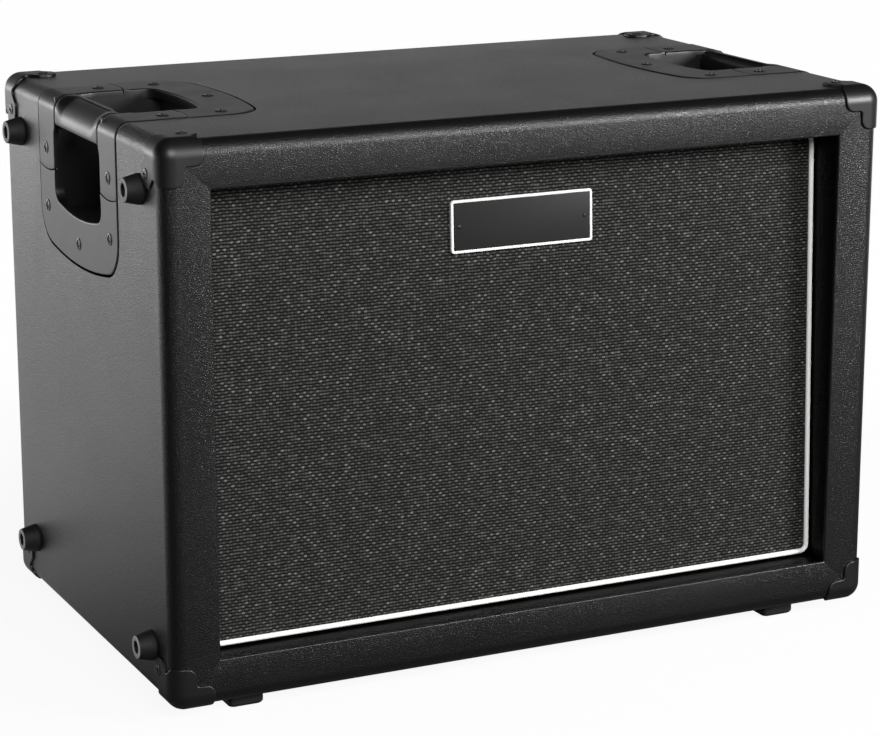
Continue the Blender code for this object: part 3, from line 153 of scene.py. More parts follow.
def adder_for(owner):
    """Empties the nodes of a material or world, and gives the function that adds to them."""
    owner.use_nodes = True
    owner.node_tree.nodes.clear()
    return functools.partial(add_node, owner.node_tree)


def seen_share(add, behind, straight, gloss):
    """How white the background is: straight to the camera and through glass, and as much as
    gloss where it lies behind the object to a glossy ray."""
    camera, shiny, through = [add("LightPath", out="Is %s Ray" % kind)
                              for kind in ("Camera", "Glossy", "Transmission")]
    plain = add("Math MULTIPLY", add("Math MAXIMUM", camera, through), straight)
    shiny = add("Math MULTIPLY", shiny, add("Math MULTIPLY", behind, gloss))
    return add("Math MAXIMUM", plain, shiny)


# Finishes: each adds its nodes and gives the values of its Principled shader

def grained_vinyl(add, settings):
    """Black PVC covering, calendered and embossed with a leather grain of about 1.3 mm.

    The embossing breaks every highlight into small cells, and the film is a little glossy.
    Inside the opening it is near black and less glossy: partly as the wood round the cloth
    is on the real one, and partly painted shade for the dark recess.
    """
    place = add("TexCoord", out="Object")
    warp = add("TexNoise", place, 1 / (3.0 * MM), 1.0, out="Color")
    shift = add("VectorMath MULTIPLY", warp, (0.9 * MM,) * 3)
    cells = add("TexVoronoi", add("VectorMath ADD", place, shift), 1 / settings.grain_size,
                feature="DISTANCE_TO_EDGE")
    folds = add("MapRange", cells, 0.0, 0.35, **SMOOTH)
    pores = add("TexNoise", place, 1 / (0.45 * MM), 2.0)
    soft = add("TexNoise", place, 1 / (70 * MM), 3.0)
    x, y, z = add("SeparateXYZ", place, out=slice(3))
    # Painted shade: inside the opening the colour goes near black and the gloss drops, for the
    # dark recess
    inside = add("Math MULTIPLY", add("MapRange", y, 0.0, -10 * MM, **SMOOTH),
                 add("MapRange", y, FRONT + 1 * MM, FRONT + 3 * MM, **SMOOTH))
    for axis, low, high, frame_width in ((x, LEFT, RIGHT, settings.stile_width),
                                         (z, BOTTOM, TOP, settings.rail_height)):
        away = add("Math ABSOLUTE", add("Math SUBTRACT", axis, (low + high) / 2))
        near = add("Math LESS_THAN", away, (high - low) / 2 - frame_width + 0.5 * MM)
        inside = add("Math MULTIPLY", inside, near)
    # The grain's valleys are painted darker than its tops: painted shade in the creases
    covered = add("Mix", folds, "#080809", settings.vinyl_colour, **COLOURS)
    return {
        "Base Color": add("Mix", inside, covered, "#020202", **COLOURS),
        "Roughness": add("MapRange", soft, 0, 1, 0.30, 0.38),
        "Specular IOR Level": add("Math MULTIPLY_ADD", inside, -0.42, 0.5),
        "Normal": add("Bump", 0.65, 0.14 * MM, None,
                      add("Math MULTIPLY_ADD", pores, 0.35, folds)),
    }


def moulded_rubber(add, settings):
    """Black rubber, compression moulded: matt, with a dusty bloom here and there.

    The bumpers' end faces are painted pale grey: a painted highlight for the light that their
    flat ends reflect.
    """
    place = add("TexCoord", out="Object")
    bloom = add("TexNoise", place, 1 / (8 * MM), 5.0)
    end = LEFT - settings.bumper_height
    # Painted highlight: the bumpers' flat ends are made pale grey, for the light they reflect
    painted_end_highlight = add("MapRange", add("SeparateXYZ", place), end + 0.5 * MM, end + 0.1 * MM, **SMOOTH)
    painted_end_highlight = add("Math MULTIPLY", painted_end_highlight, add("MapRange", bloom, 0, 1, 0.7, 1.0))
    black = add("Mix", bloom, settings.rubber_colour, "#0c0c0b", **COLOURS)
    return {
        "Base Color": add("Mix", painted_end_highlight, black, "#d4d4d0", **COLOURS),
        "Roughness": add("MapRange", bloom, 0, 1, 0.6, 0.8),
        "Normal": add("Bump", 0.5, 0.03 * MM, None, add("TexNoise", place, 1 / (0.4 * MM))),
        "IOR": 1.52,
    }


def woven_grille_cloth(add, settings):
    """Coarse polyester yarn in a plain weave, about 2.5 mm across by 2.2 mm up.

    The pattern follows the cloth's own map in metres. The level yarns are pale and stand out
    as rows of long crowns, brighter where they pass over, with black gaps between the rows:
    the colour that peaks along each yarn's middle and falls to black between the rows is
    partly painted shading of the round yarns. Each crown is a little different, and a few
    carry a painted glint.
    """
    uv = add("UVMap", uv_map="cloth")
    u, v = add("SeparateXYZ", uv, out=slice(2))
    drift = add("Math MULTIPLY_ADD", add("TexNoise", uv, 1 / (7 * MM), 3.0), 0.7, -0.35)
    yarns = [add("Math MULTIPLY_ADD", u, 1 / settings.warp_pitch, drift),
             add("Math MULTIPLY_ADD", v, 1 / settings.weft_pitch, drift)]
    waves = [add("Math SINE", add("Math MULTIPLY", yarn, math.pi)) for yarn in yarns]
    over = add("Math GREATER_THAN", add("Math MULTIPLY", *waves), 0.0)
    column, row = [add("Math ABSOLUTE", wave) for wave in waves]
    cell = add("CombineXYZ", *[add("Math FLOOR", yarn) for yarn in yarns])
    chance = add("TexWhiteNoise", cell, noise_dimensions="2D")
    # Painted glint: a few crowns at random are made much brighter, for yarns that catch the
    # light
    painted_glint = add("Math MULTIPLY", add("Math POWER", chance, 9.0), 0.5)
    bright = add("Math ADD", add("MapRange", chance, 0, 1, 0.32, 0.56), painted_glint)
    bright = add("Math MULTIPLY", bright, add("MapRange", over, 0, 1, 0.45, 1.0))
    # Partly painted shading of the round yarns: colour peaks along each yarn's middle, black
    # between rows
    crown = add("Math MULTIPLY", add("Math POWER", row, 2.0),
                add("MapRange", column, 0, 1, 0.5, 1.0))
    return {
        "Base Color": add("Mix", add("Math MULTIPLY", crown, bright), "#050505",
                          settings.cloth_colour, **COLOURS),
        "Roughness": 0.85,
        "Normal": add("Bump", 0.6, 0.3 * MM, None, crown),
        "Specular IOR Level": 0.08,
    }


def birch_plywood(add, _settings):
    """Birch plywood, rotary cut and sanded: long pale grain that runs along the width."""
    long = add("Mapping", add("TexCoord", out="Object"), None, None, (1, 6, 12))
    grain = add("TexNoise", long, 1 / (30 * MM), 6.0)
    fibre = add("TexNoise", long, 1 / (4 * MM), 3.0)
    return {
        "Base Color": add("Mix", grain, "#b98d5c", "#dcbd8d", **COLOURS),
        "Roughness": add("MapRange", fibre, 0, 1, 0.6, 0.75),
        "Normal": add("Bump", 0.5, 0.05 * MM, None, fibre),
    }


# Finishes with one mottle: two colours, the least and most roughness, the mottle's size in
# millimetres and its detail, the same two for the skin's bump, that bump's depth in
# millimetres and its strength, and the values that differ from the shader's own
MOTTLED = {
    # Black ABS, injection moulded in a finely eroded mould: a soft even gloss
    "moulded_abs": ("plastic_colour", "plastic_colour", 0.34, 0.46, 25, 4, 0.5, 2, 0.03, 0.6,
                    {"IOR": 1.54}),
    # White PVC, extruded: smooth and a little shiny, with slight greying
    "extruded_piping": ("#f7f7f4", "piping_colour", 0.38, 0.38, 12, 3, 12, 3, 0, 0,
                        {"IOR": 1.53}),
    # Aluminium plate, lacquered black: flat, satin and very fine grained
    "lacquered_aluminium": ("badge_colour", "badge_colour", 0.36, 0.46, 1.2, 2, 1.2, 2, 0.01,
                            0.4, {"Specular IOR Level": 0.3}),
    # White enamel round the badge's edge: glossy and slightly uneven in tone
    "white_enamel": ("#d9d9d6", "#efefec", 0.35, 0.35, 2, 2, 2, 2, 0, 0, {}),
    # Screw steel, zinc plated and blackened: rubbed paler on its high places
    "blackened_steel": ("#4a4a4c", "#4a4a4c", 0.28, 0.42, 1, 4, 1, 4, 0.02, 0.4,
                        {"Metallic": 0.8}),
    # Pressed steel, powder coated black: satin
    "coated_steel": ("#1a1a1b", "#1a1a1b", 0.35, 0.5, 1, 4, 1, 4, 0.02, 0.4,
                     {"Metallic": 0.3}),
    # Turned steel, zinc plated: cool grey with soft highlights
    "zinc_plated_steel": ("#9b9ca0", "#9b9ca0", 0.3, 0.5, 3, 4, 3, 4, 0.02, 0.4,
                          {"Metallic": 1.0}),
    # Copper wire, enamelled: warm and shiny
    "enamelled_copper": ("#a8623a", "#a8623a", 0.25, 0.4, 0.5, 4, 0.5, 4, 0.02, 0.4,
                         {"Metallic": 1.0}),
    # Cone paper, felted and pressed: matt, its pulp mottled
    "pressed_paper": ("#1c1a18", "#2b2825", 0.85, 0.85, 3, 6, 3, 6, 0.12, 0.6, {}),
    # Cork crumb, pressed with a binder: matt and speckled brown
    "pressed_cork": ("#6e5238", "#a98058", 0.9, 0.9, 3, 6, 3, 6, 0.12, 0.6, {}),
    # Ferrite, sintered: dark grey with a dull sheen
    "sintered_ferrite": ("#2a2a2c", "#3a3a3d", 0.5, 0.5, 3, 6, 3, 6, 0.12, 0.6, {}),
}

SLOT_FINISHES = {
    "vinyl": "grained_vinyl", "birch_ply": "birch_plywood", "rubber": "moulded_rubber",
    "grille_cloth": "woven_grille_cloth", "white_piping": "extruded_piping",
    "black_plastic": "moulded_abs", "badge": "lacquered_aluminium",
    "black_steel": "coated_steel", "zinc_steel": "zinc_plated_steel",
    "cone_paper": "pressed_paper", "gasket_cork": "pressed_cork",
    "ferrite": "sintered_ferrite", "coil_copper": "enamelled_copper",
}


def mottled(add, settings, name):
    """The values of a finish in the table above."""
    (first, second, low, high, size, detail, grain, fine, depth, strength,
     others) = MOTTLED[name]
    first, second = [code if code[0] == "#" else getattr(settings, code)
                     for code in (first, second)]
    place = add("TexCoord", out="Object")
    mottle = add("TexNoise", place, 1 / (size * MM), detail)
    values = {"Base Color": add("Mix", mottle, first, second, **COLOURS),
              "Roughness": add("MapRange", mottle, 0, 1, low, high)}
    if depth:
        skin = add("TexNoise", place, 1 / (grain * MM), fine)
        values["Normal"] = add("Bump", strength, depth * MM, None, skin)
    return values | others


def material(name):
    """The finish of this name as a material, made once."""
    made = bpy.data.materials.get(name)
    if not made:
        made = bpy.data.materials.new(name)
        add = adder_for(made)
        settings = bpy.context.scene.cabinet_settings
        own = {"grained_vinyl": grained_vinyl, "moulded_rubber": moulded_rubber,
               "woven_grille_cloth": woven_grille_cloth, "birch_plywood": birch_plywood}
        values = mottled(add, settings, name) if name in MOTTLED else own[name](add, settings)
        add("OutputMaterial", add("BsdfPrincipled", named=values))
    return made


# Meshes from arrays

def grid_quads(rows, columns, closed=False):
    """Quads between the neighbouring points of a grid, whose rows may close on themselves."""
    i = np.arange(rows - 1)[:, None]
    j = np.arange(columns if closed else columns - 1)[None, :]
    after = (j + 1) % columns
    return np.stack([i * columns + j, i * columns + after, (i + 1) * columns + after,
                     (i + 1) * columns + j], -1).reshape(-1, 4)


def lofted(loops, closed_ends=True):
    """Points and faces of closed loops, one after another, with a flat face at each end."""
    rows, columns = loops.shape[:2]
    faces = grid_quads(rows, columns, True).tolist()
    if closed_ends:
        faces.append(list(range(columns))[::-1])
        faces.append(list(range((rows - 1) * columns, rows * columns)))
    return loops.reshape(-1, 3), faces


def joined(parts):
    """Several (points, faces) as one."""
    points, faces, start = [], [], 0
    for some, many in parts:
        points.append(some)
        faces += [[index + start for index in face] for face in many]
        start += len(some)
    return np.concatenate(points), faces


def new_object(name, data):
    """Links data as a new object at the origin."""
    made = bpy.data.objects.new(name, data)
    bpy.context.scene.collection.objects.link(made)
    return made


def mesh_of(name, parts):
    """A mesh from (points, faces), with its doubles merged and its faces turned out."""
    points, faces = parts
    mesh = bpy.data.meshes.new(name)
    mesh.from_pydata(points.tolist(), [], faces)
    work = bmesh.new()
    work.from_mesh(mesh)
    bmesh.ops.remove_doubles(work, verts=work.verts, dist=1e-6)
    bmesh.ops.dissolve_degenerate(work, edges=work.edges, dist=1e-7)
    bmesh.ops.recalc_face_normals(work, faces=work.faces)
    work.to_mesh(mesh)
    work.free()
    return mesh


def shade(mesh, crease):
    """Smooth, with sharp edges above a crease angle in degrees."""
    mesh.shade_smooth()
    mesh.set_sharp_from_angle(angle=math.radians(crease))


def new_piece(name, parts, slot, body="cabinet", replaces=(), crease=40, finish=None):
    """A finished piece from (points, faces), smooth below a crease angle.

    Without a body it rides on nothing.
    """
    piece = new_object(name, mesh_of(name, parts))
    shade(piece.data, crease)
    piece.data.materials.append(material(finish or SLOT_FINISHES[slot]))
    if body:
        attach(piece, body)
    if replaces:
        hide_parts(*replaces)
    return piece


def cut_by(piece, name, parts, crease=40):
    """Takes a closed shape out of a piece, and keeps the result as the piece's mesh."""
    modifier = piece.modifiers.new(name, "BOOLEAN")
    modifier.operation = "DIFFERENCE"
    modifier.solver = "EXACT"
    cutter = modifier.object = new_object(name, mesh_of(name, parts))
    bpy.context.view_layer.update()
    ready = piece.evaluated_get(bpy.context.evaluated_depsgraph_get())
    result = bpy.data.meshes.new_from_object(ready)
    piece.modifiers.clear()
    piece.data = result
    bpy.data.objects.remove(cutter)
    shade(result, crease)


def rounded_outline(corners, steps=6):
    """Outline through (x, y, radius) corners, each corner an arc: centre plus radius times
    the cosine and sine of an angle that runs between its two touching points."""
    corners = np.array(corners, float)
    point, radius = corners[:, :2], corners[:, 2:3]
    before = np.roll(point, 1, 0) - point
    after = np.roll(point, -1, 0) - point
    before /= np.linalg.norm(before, axis=1, keepdims=True)
    after /= np.linalg.norm(after, axis=1, keepdims=True)
    half = np.arccos(np.clip((before * after).sum(1, keepdims=True), -1, 1)) / 2
    middle = before + after
    middle /= np.maximum(np.linalg.norm(middle, axis=1, keepdims=True), 1e-12)
    centre = point + middle * radius / np.sin(half)
    first = point + before * radius / np.tan(half) - centre
    last = point + after * radius / np.tan(half) - centre
    start = np.arctan2(first[:, 1], first[:, 0])
    sweep = np.arctan2(last[:, 1], last[:, 0]) - start
    sweep = (sweep + np.pi) % (2 * np.pi) - np.pi
    angle = start[:, None] + sweep[:, None] * np.linspace(0, 1, steps + 1)
    arc = np.stack([np.cos(angle), np.sin(angle)], -1) * radius[:, None]
    return (centre[:, None] + arc).reshape(-1, 2)


def even_line(points, spacing, closed=True):
    """The same line with points at an even spacing along its length."""
    if closed:
        points = np.vstack([points, points[:1]])
    step = np.linalg.norm(np.diff(points, axis=0), axis=1)
    points = points[np.concatenate([[True], step > 1e-9])]
    along = np.concatenate([[0], np.cumsum(step[step > 1e-9])])
    count = max(int(round(along[-1] / spacing)), 3)
    at = np.linspace(0, along[-1], count + 1)
    if closed:
        at = at[:-1]
    return np.stack([np.interp(at, along, points[:, k]) for k in range(points.shape[1])], -1)


def inward_of(line):
    """Unit vectors that point left of a closed flat line, so inward if it runs leftwards."""
    ahead = np.roll(line, -1, 0) - np.roll(line, 1, 0)
    ahead /= np.linalg.norm(ahead, axis=1, keepdims=True)
    return np.stack([-ahead[:, 1], ahead[:, 0]], -1)


def round_over(size, steps):
    """How far a rounded edge lies below its top and inside its wall, at even angles:
    size * (1 - sin a) and size * (1 - cos a)."""
    angle = np.linspace(0, np.pi / 2, steps + 1)
    return size * (1 - np.sin(angle)), size * (1 - np.cos(angle))


def rectangle_loops(widths, heights, radii, levels, steps=8):
    """Rounded rectangles, one for each level, as an array of loops in x, y and the level."""
    angle = np.radians(np.linspace(0, 90, steps + 1))
    turn = (np.arange(4) * np.pi / 2)[:, None] + angle
    sign_x = np.array([1, -1, -1, 1])[:, None]
    sign_y = np.array([1, 1, -1, -1])[:, None]
    widths, heights, radii, levels = [np.asarray(v, float)[:, None, None]
                                      for v in (widths, heights, radii, levels)]
    x = sign_x * (widths / 2 - radii) + radii * np.cos(turn)
    y = sign_y * (heights / 2 - radii) + radii * np.sin(turn)
    loops = np.stack([x, y, np.broadcast_to(levels, x.shape)], -1)
    return loops.reshape(len(loops), -1, 3)


def turned(profile, sides):
    """A profile of (radius, height) carried round the z axis: x = r cos a, y = r sin a."""
    profile = np.asarray(profile, float)
    angle = np.linspace(0, 2 * np.pi, sides, endpoint=False)
    ring = np.stack([np.cos(angle), np.sin(angle)], -1)
    flat = profile[:, 0][:, None, None] * ring
    high = np.broadcast_to(profile[:, 1][:, None, None], flat.shape[:2] + (1,))
    return lofted(np.concatenate([flat, high], -1))


def placed(parts, side, origin):
    """The same (points, faces) facing out of one side of the body, at an origin."""
    points, faces = parts
    return points @ np.array(FACING[side], float) + np.array(origin, float), faces


def cross_head(radius, dome, slot_width, slot_length, slot_depth):
    """A round screw head with a cross recess, about the z axis, from sizes in millimetres.

    Height where share = r / radius: dome * (1 - share^2 / 2 - edge^2 / 2), where edge runs
    from 0 to 1 over the outer 15 percent, less the slot's depth where either arm of the
    cross covers the point; an arm's sides slope over a quarter of its width.
    """
    rings = np.concatenate([np.linspace(0.02, 0.85, 14), [0.93, 0.98, 1.0]])[:, None] * radius
    angle = np.linspace(0, 2 * np.pi, 40, endpoint=False)
    x, y = rings * np.cos(angle), rings * np.sin(angle)
    slope = 0.25 * slot_width
    arms = [np.clip((slot_width / 2 - np.abs(across)) / slope + 0.5, 0, 1)
            * np.clip((slot_length / 2 - np.abs(along)) / slope + 0.5, 0, 1)
            for along, across in ((x, y), (y, x))]
    share = rings / radius
    edge = np.clip((share - 0.85) / 0.15, 0, 1)
    z = dome * (1 - 0.5 * share ** 2 - 0.5 * edge ** 2) - slot_depth * np.maximum(*arms)
    loops = np.stack([x, y, z], -1)
    under = loops[-1:].copy()
    under[..., 2] = -0.8
    return lofted(np.concatenate([loops, under]) * MM)


# Covering

def wall_section(settings, depth):
    """The covered wall's closed section as rows of (y, inset at the sides, inset above).

    From the rear edge over both roundovers to the front face, round its inner edge into the
    opening and back along the inside. Past the roundover the inset above is scaled, because
    the rails are lower than the stiles are wide.
    """
    radius, panel = settings.edge_radius, settings.panel
    stile, rail = settings.stile_width, settings.rail_height
    below, inside = round_over(radius, 14)
    fine_below, fine_inside = round_over(1.2 * MM, 4)
    y = np.concatenate([BACK - fine_below, BACK - below[::-1], FRONT + below,
                        FRONT + fine_inside, [FRONT + depth] * 2])
    inset = np.concatenate([panel - fine_inside, inside[::-1], inside, stile - fine_below,
                            [stile, panel]])
    above = np.where(inset > radius,
                     radius + (inset - radius) * (rail - radius) / (stile - radius), inset)
    above[:len(fine_inside)] = inset[:len(fine_inside)]
    above[-1] = panel
    return np.stack([y, inset, above], -1)


def swept_wall(settings, first_corner, last_corner, first_angle, depth):
    """One mitred side of the body: the wall's section carried round from the middle of one
    corner's arc to the middle of the next, corner radius = edge radius less the inset."""
    section = wall_section(settings, depth)
    rows = 8
    angle = np.radians(first_angle - np.concatenate([np.linspace(0, 45, rows),
                                                     np.linspace(45, 90, rows)]))
    corner = np.repeat(np.array([first_corner, last_corner], float), rows, axis=0)
    y, inset, above = section.T
    radius = np.maximum(settings.edge_radius - inset, 0.2 * MM)
    x = np.where(corner[:, :1] > 0, RIGHT - inset - radius, LEFT + inset + radius)
    z = np.where(corner[:, 1:] > 0, TOP - above - radius, BOTTOM + above + radius)
    x += radius * np.cos(angle)[:, None]
    z += radius * np.sin(angle)[:, None]
    seam = 0.12 * MM * (inset > settings.edge_radius + 1e-6)
    way = (corner[-1] - corner[0]) / np.linalg.norm(corner[-1] - corner[0])
    for row, sign in ((slice(rows), 1), (slice(rows, None), -1)):
        x[row] += sign * seam * way[0]
        z[row] += sign * seam * way[1]
    return lofted(np.stack([x, np.broadcast_to(y, x.shape), z], -1))


def bowed(points, half, sag, start, end):
    """Points moved away from the edge by sag * (1 - (t / half)^2), which grows from start
    to end."""
    t, s = points.T
    share = smooth((s - start) / (end - start))
    return np.stack([t, s + sag * (1 - (t / half) ** 2) * share], -1)


def flange_outline(settings, grow):
    """The handle flange's outline on one face, in (along the depth, away from the edge)."""
    half = settings.handle_half + grow
    low = settings.handle_reach - settings.handle_sag + grow
    corner, start, tiny = FLANGE_CORNER + grow, -10 * MM, 0.2 * MM
    line = rounded_outline([(-half, start, tiny), (half, start, tiny), (half, low, corner),
                            (-half, low, corner)])
    return bowed(even_line(line, 1.5 * MM), half, settings.handle_sag, 40 * MM, low)


def at_edge(side, inward, along, down):
    """Distances in from a side, along the depth and down from the top, as points."""
    x_edge, sign = SIDES[side]
    return np.stack(np.broadcast_arrays(x_edge + sign * inward, along, TOP - down), -1)


def handle_point(side, t, s, h, radius):
    """Carries (t along the depth, s away from the edge, h out of the surface) to the body.

    s is positive down the side and negative in along the top. Within one edge radius of the
    edge the surface is an arc: angle = 45 degrees * (1 - s / radius) from the side's normal,
    and the point is centre + (radius + h) * (cosine, sine).
    """
    t, s, h = np.broadcast_arrays(t, s, h)
    angle = np.radians(45) * (1 - np.clip(s / radius, -1, 1))
    inward = np.where(s >= radius, -h, np.where(s <= -radius, -s,
                                                radius - (radius + h) * np.cos(angle)))
    down = np.where(s >= radius, s, np.where(s <= -radius, -h,
                                             radius - (radius + h) * np.sin(angle)))
    return at_edge(side, inward, t, down)


# Corner protectors

def protector_foot(settings):
    """Closed line of a protector's foot on the body's rounded corner.

    Distances run inwards from the left, front and top face. Each face has an outline in
    (u, v); a point nearer to an edge than the roundover is turned onto it by
    angle = atan((radius - v) / radius), so both faces meet on the edge's middle line.
    """
    radius, leg, steps = settings.edge_radius, settings.protector_leg / MM, 6
    past, sharp = -60, 0.1
    lobed = [(leg, past, sharp), (leg, 5.25, 4), (24.5, 10.5, 2.5), (33, 18.5, 5),
             (33, 33, 9.3), (18.5, 33, 5), (10.5, 24.5, 2.5), (5.25, leg, 4),
             (past, leg, sharp)]
    plain = [(past, leg, sharp), (16.5, leg, 7), (16.5, 16.5, 2), (leg, 16.5, 7),
             (leg, past, sharp)]
    lines = []
    for corners, start, end, order in ((lobed, (leg, 0), (0, leg), (2, 0, 1)),
                                       (plain, (0, leg), (leg, 0), (0, 2, 1)),
                                       (lobed, (leg, 0), (0, leg), (0, 1, 2))):
        arcs = rounded_outline(corners, steps)[steps + 1:-(steps + 1)]
        line = np.vstack([[start], arcs, [end]]) * MM
        line = even_line(line, 0.8 * MM, closed=False)[:-1]
        turn = np.arctan2(np.maximum(radius - line, 0), radius)
        flat = np.where(line < radius, radius - radius * np.sin(turn), line)
        depth = radius - radius * np.cos(turn.sum(1))
        lines.append(np.stack([flat[:, 0], flat[:, 1], depth], -1)[:, order])
    return np.concatenate(lines)


def corner_surface(rays, height, radius):
    """Where rays from the corner arc's centre leave the rounded corner, raised by a height.

    Scaled so that the outward part has the arc's length, a ray ends on the sphere, cylinder
    or plane it points at, and that outward part is the surface's normal.
    """
    outward = np.minimum(rays, 0)
    length = np.linalg.norm(outward, axis=-1, keepdims=True)
    return radius + rays * radius / length + outward / length * height


def protector_shape(settings):
    """A moulded cap on the corner: rings run from its middle under the cap to its foot, up
    the wall, round a quarter-round rim and back to the middle on top."""
    radius, proud, rim = settings.edge_radius, settings.protector_proud, 0.8 * MM
    foot = protector_foot(settings)
    rays = foot - radius
    outward = np.minimum(rays, 0)
    outward /= np.linalg.norm(outward, axis=1, keepdims=True)
    ahead = np.roll(foot, -1, 0) - np.roll(foot, 1, 0)
    ahead /= np.linalg.norm(ahead, axis=1, keepdims=True)
    inward = np.cross(ahead, outward)
    middle = np.full(3, -radius / math.sqrt(3))
    if ((middle - rays) * inward).sum() < 0:
        inward = -inward
    low = 0.05 * MM
    share = np.linspace(0.03, 1, 7)[:, None, None]
    under = corner_surface(middle + (rays - middle) * share, low, radius)
    below, inside = [part[:, None, None] for part in round_over(rim, 5)]
    wall = corner_surface(rays + inward * inside, proud - below, radius)
    edge = rays + inward * rim
    share = np.linspace(1, 0.03, 26)[1:, None, None]
    top = corner_surface(middle + (edge - middle) * share, proud, radius)
    return lofted(np.concatenate([under, wall, top]))


def at_corner(parts, side, end, level):
    """Carries inward distances from three faces to one of the body's eight corners."""
    points, faces = parts
    (x, sx), (y, sy), (z, sz) = SIDES[side], ENDS[end], LEVELS[level]
    return points * np.array([sx, sy, sz]) + np.array([x, y, z]), faces


# Handles

def shell_plate(settings, side, face):
    """The flange on one face beyond the saddle's seam: a flat U with round rims, whose
    outline is moved inwards as it rises. Its mouth's far side bows by 6 mm."""
    half, sag = settings.handle_half, settings.handle_sag
    low = settings.handle_reach - sag
    mouth, mouth_low, seam = MOUTH_HALF, 73 * MM, SADDLE_SEAM + 0.2 * MM
    tiny = 0.3 * MM
    line = rounded_outline([(half, seam, tiny), (half, low, FLANGE_CORNER),
                            (-half, low, FLANGE_CORNER), (-half, seam, tiny),
                            (-mouth, seam, tiny),
                            (-mouth, mouth_low, 7 * MM), (mouth, mouth_low, 7 * MM),
                            (mouth, seam, tiny)])
    line = even_line(line, 0.9 * MM)
    inner = (np.abs(line[:, 0]) < mouth + tiny) & (line[:, 1] < mouth_low + tiny)
    line = np.where(inner[:, None],
                    bowed(line, mouth, 6 * MM, mouth_low - 14 * MM, mouth_low),
                    bowed(line, half, sag, 40 * MM, low))
    line[:, 1] = seam_bow(settings, *line.T)
    inward = inward_of(line)
    below, inside = round_over(FLANGE_RIM, 5)
    rings = [(0.0, -6 * MM), *zip(inside, FLANGE_PROUD - below),
             (FLANGE_RIM + 0.25 * MM, FLANGE_PROUD)]
    sign = 1 if face == "side" else -1
    on_seam = smooth((SADDLE_SEAM + 6 * MM - line[:, 1:]) / (3 * MM))
    on_seam = on_seam * (np.abs(line[:, :1]) < half - 0.1 * MM)
    fine = 1 - 0.75 * on_seam
    loops = [handle_point(side, *(line + inward * inset * fine).T * np.array([[1], [sign]]),
                          level, settings.edge_radius) for inset, level in rings]
    return lofted(np.array(loops))


def seam_bow(settings, t, s):
    """Distances s moved away from the edge by 2.6 mm * (1 - u^2), where u runs from -1 to 1
    across a strip, fading out over 12 mm each way from the saddle's seam."""
    near, far = MOUTH_HALF, settings.handle_half
    u = (np.abs(t) - (near + far) / 2) / ((far - near) / 2)
    fade = np.clip(1 - np.abs(np.abs(s) - SADDLE_SEAM) / (12 * MM), 0, 1)
    return s + np.sign(s) * 2.6 * MM * np.clip(1 - u ** 2, 0, 1) * fade


def smooth(value):
    """0 below 0, 1 above 1, and 3 v^2 - 2 v^3 between."""
    value = np.clip(value, 0, 1)
    return value * value * (3 - 2 * value)


def saddle_strip(settings, side, end):
    """One strip of the saddle, beside the mouth: its section with round rims in (t, h)
    carried over the edge, from the seam on the side to the seam on the top.

    Over the grip its inner side reaches 2.5 mm further in, and at both ends its upper side
    falls by 0.3 mm * (1 - cos a).
    """
    near, far, rim, proud = MOUTH_HALF, settings.handle_half, FLANGE_RIM, FLANGE_PROUD
    below, inside = round_over(rim, 5)
    across = np.linspace(near + rim, far - rim, 12)[1:-1]
    t = np.concatenate([[near], near + inside, across, far - inside[::-1], [far]])
    h = np.concatenate([[-3 * MM], proud - below, np.full_like(across, proud),
                        proud - below[::-1], [-3 * MM]])
    seam, radius, fine = SADDLE_SEAM - 0.1 * MM, settings.edge_radius, 0.3 * MM
    below, inside = round_over(fine, 5)
    arc = seam - below
    flat = np.linspace(radius, seam - fine, 12)[1:-1]
    turn = np.linspace(-radius, radius, 17)
    s = np.concatenate([-arc[::-1], -flat[::-1], turn, flat, arc])
    drop = np.concatenate([inside[::-1], np.zeros(len(flat) * 2 + len(turn)), inside])
    s, drop = s[:, None], drop[:, None]
    reach = 2.5 * MM * smooth((28 * MM - np.abs(s)) / (7 * MM))
    t = t - reach * np.clip((far - t) / (far - near), 0, 1)
    h = h - drop * (h > -2 * MM)
    s = seam_bow(settings, t, np.broadcast_to(s, t.shape))
    return lofted(handle_point(side, end * t, s, h, radius))


def grip_bar(settings, side):
    """The grip: its section is a square with one large round, whose radius falls from 18
    to the body's own towards each end, as a smooth step of the distance from the middle.
    Beside the strips it dips by 1.2 mm, which leaves a dark line there."""
    high, dip = 21 * MM, 1.2 * MM
    sections = [rounded_outline([(low, low, outer), (high, low, 7 * MM),
                                 (high, high, 10 * MM), (low, high, 3 * MM)], 9)
                for low, outer in ((-0.5 * MM, 18 * MM),
                                   (-0.5 * MM, settings.edge_radius + 0.5 * MM),
                                   (dip - 0.5 * MM, settings.edge_radius + 0.5 * MM))]
    t = np.linspace(-55 * MM, 55 * MM, 89)
    share = smooth((np.abs(t) - 31 * MM) / (13 * MM))[:, None, None]
    lower = smooth((np.abs(t) - 45.4 * MM) / (1.2 * MM))[:, None, None]
    section = sections[0] * (1 - share) + sections[1] * share
    section = section * (1 - lower) + sections[2] * lower
    return lofted(at_edge(side, section[..., 0], t[:, None], section[..., 1]))


def hand_cup(side):
    """The hand space: an L section with a 30 mm inner round carried along the depth, and a
    wall at each end."""
    inner, wall, lip, bend = 80 * MM, 2.5 * MM, 1.6 * MM, 30 * MM

    def corner_line(far, radius):
        arc = far - np.stack(round_over(radius, 12), -1)
        return np.vstack([[(lip, far)], arc, [(far, lip)]])

    def carried(section, start, stop):
        return lofted(at_edge(side, section[:, 0], np.array([[start], [stop]]),
                              section[:, 1]))

    outer = corner_line(inner + wall, bend + wall)
    gutter = np.vstack([corner_line(inner, bend), outer[::-1]])
    end = np.vstack([outer, [(lip, lip)]])
    near, far = MOUTH_HALF + 0.2 * MM, MOUTH_HALF + 2.6 * MM
    return joined([carried(gutter, -far, far), carried(end, near, far),
                   carried(end, -far, -near)])


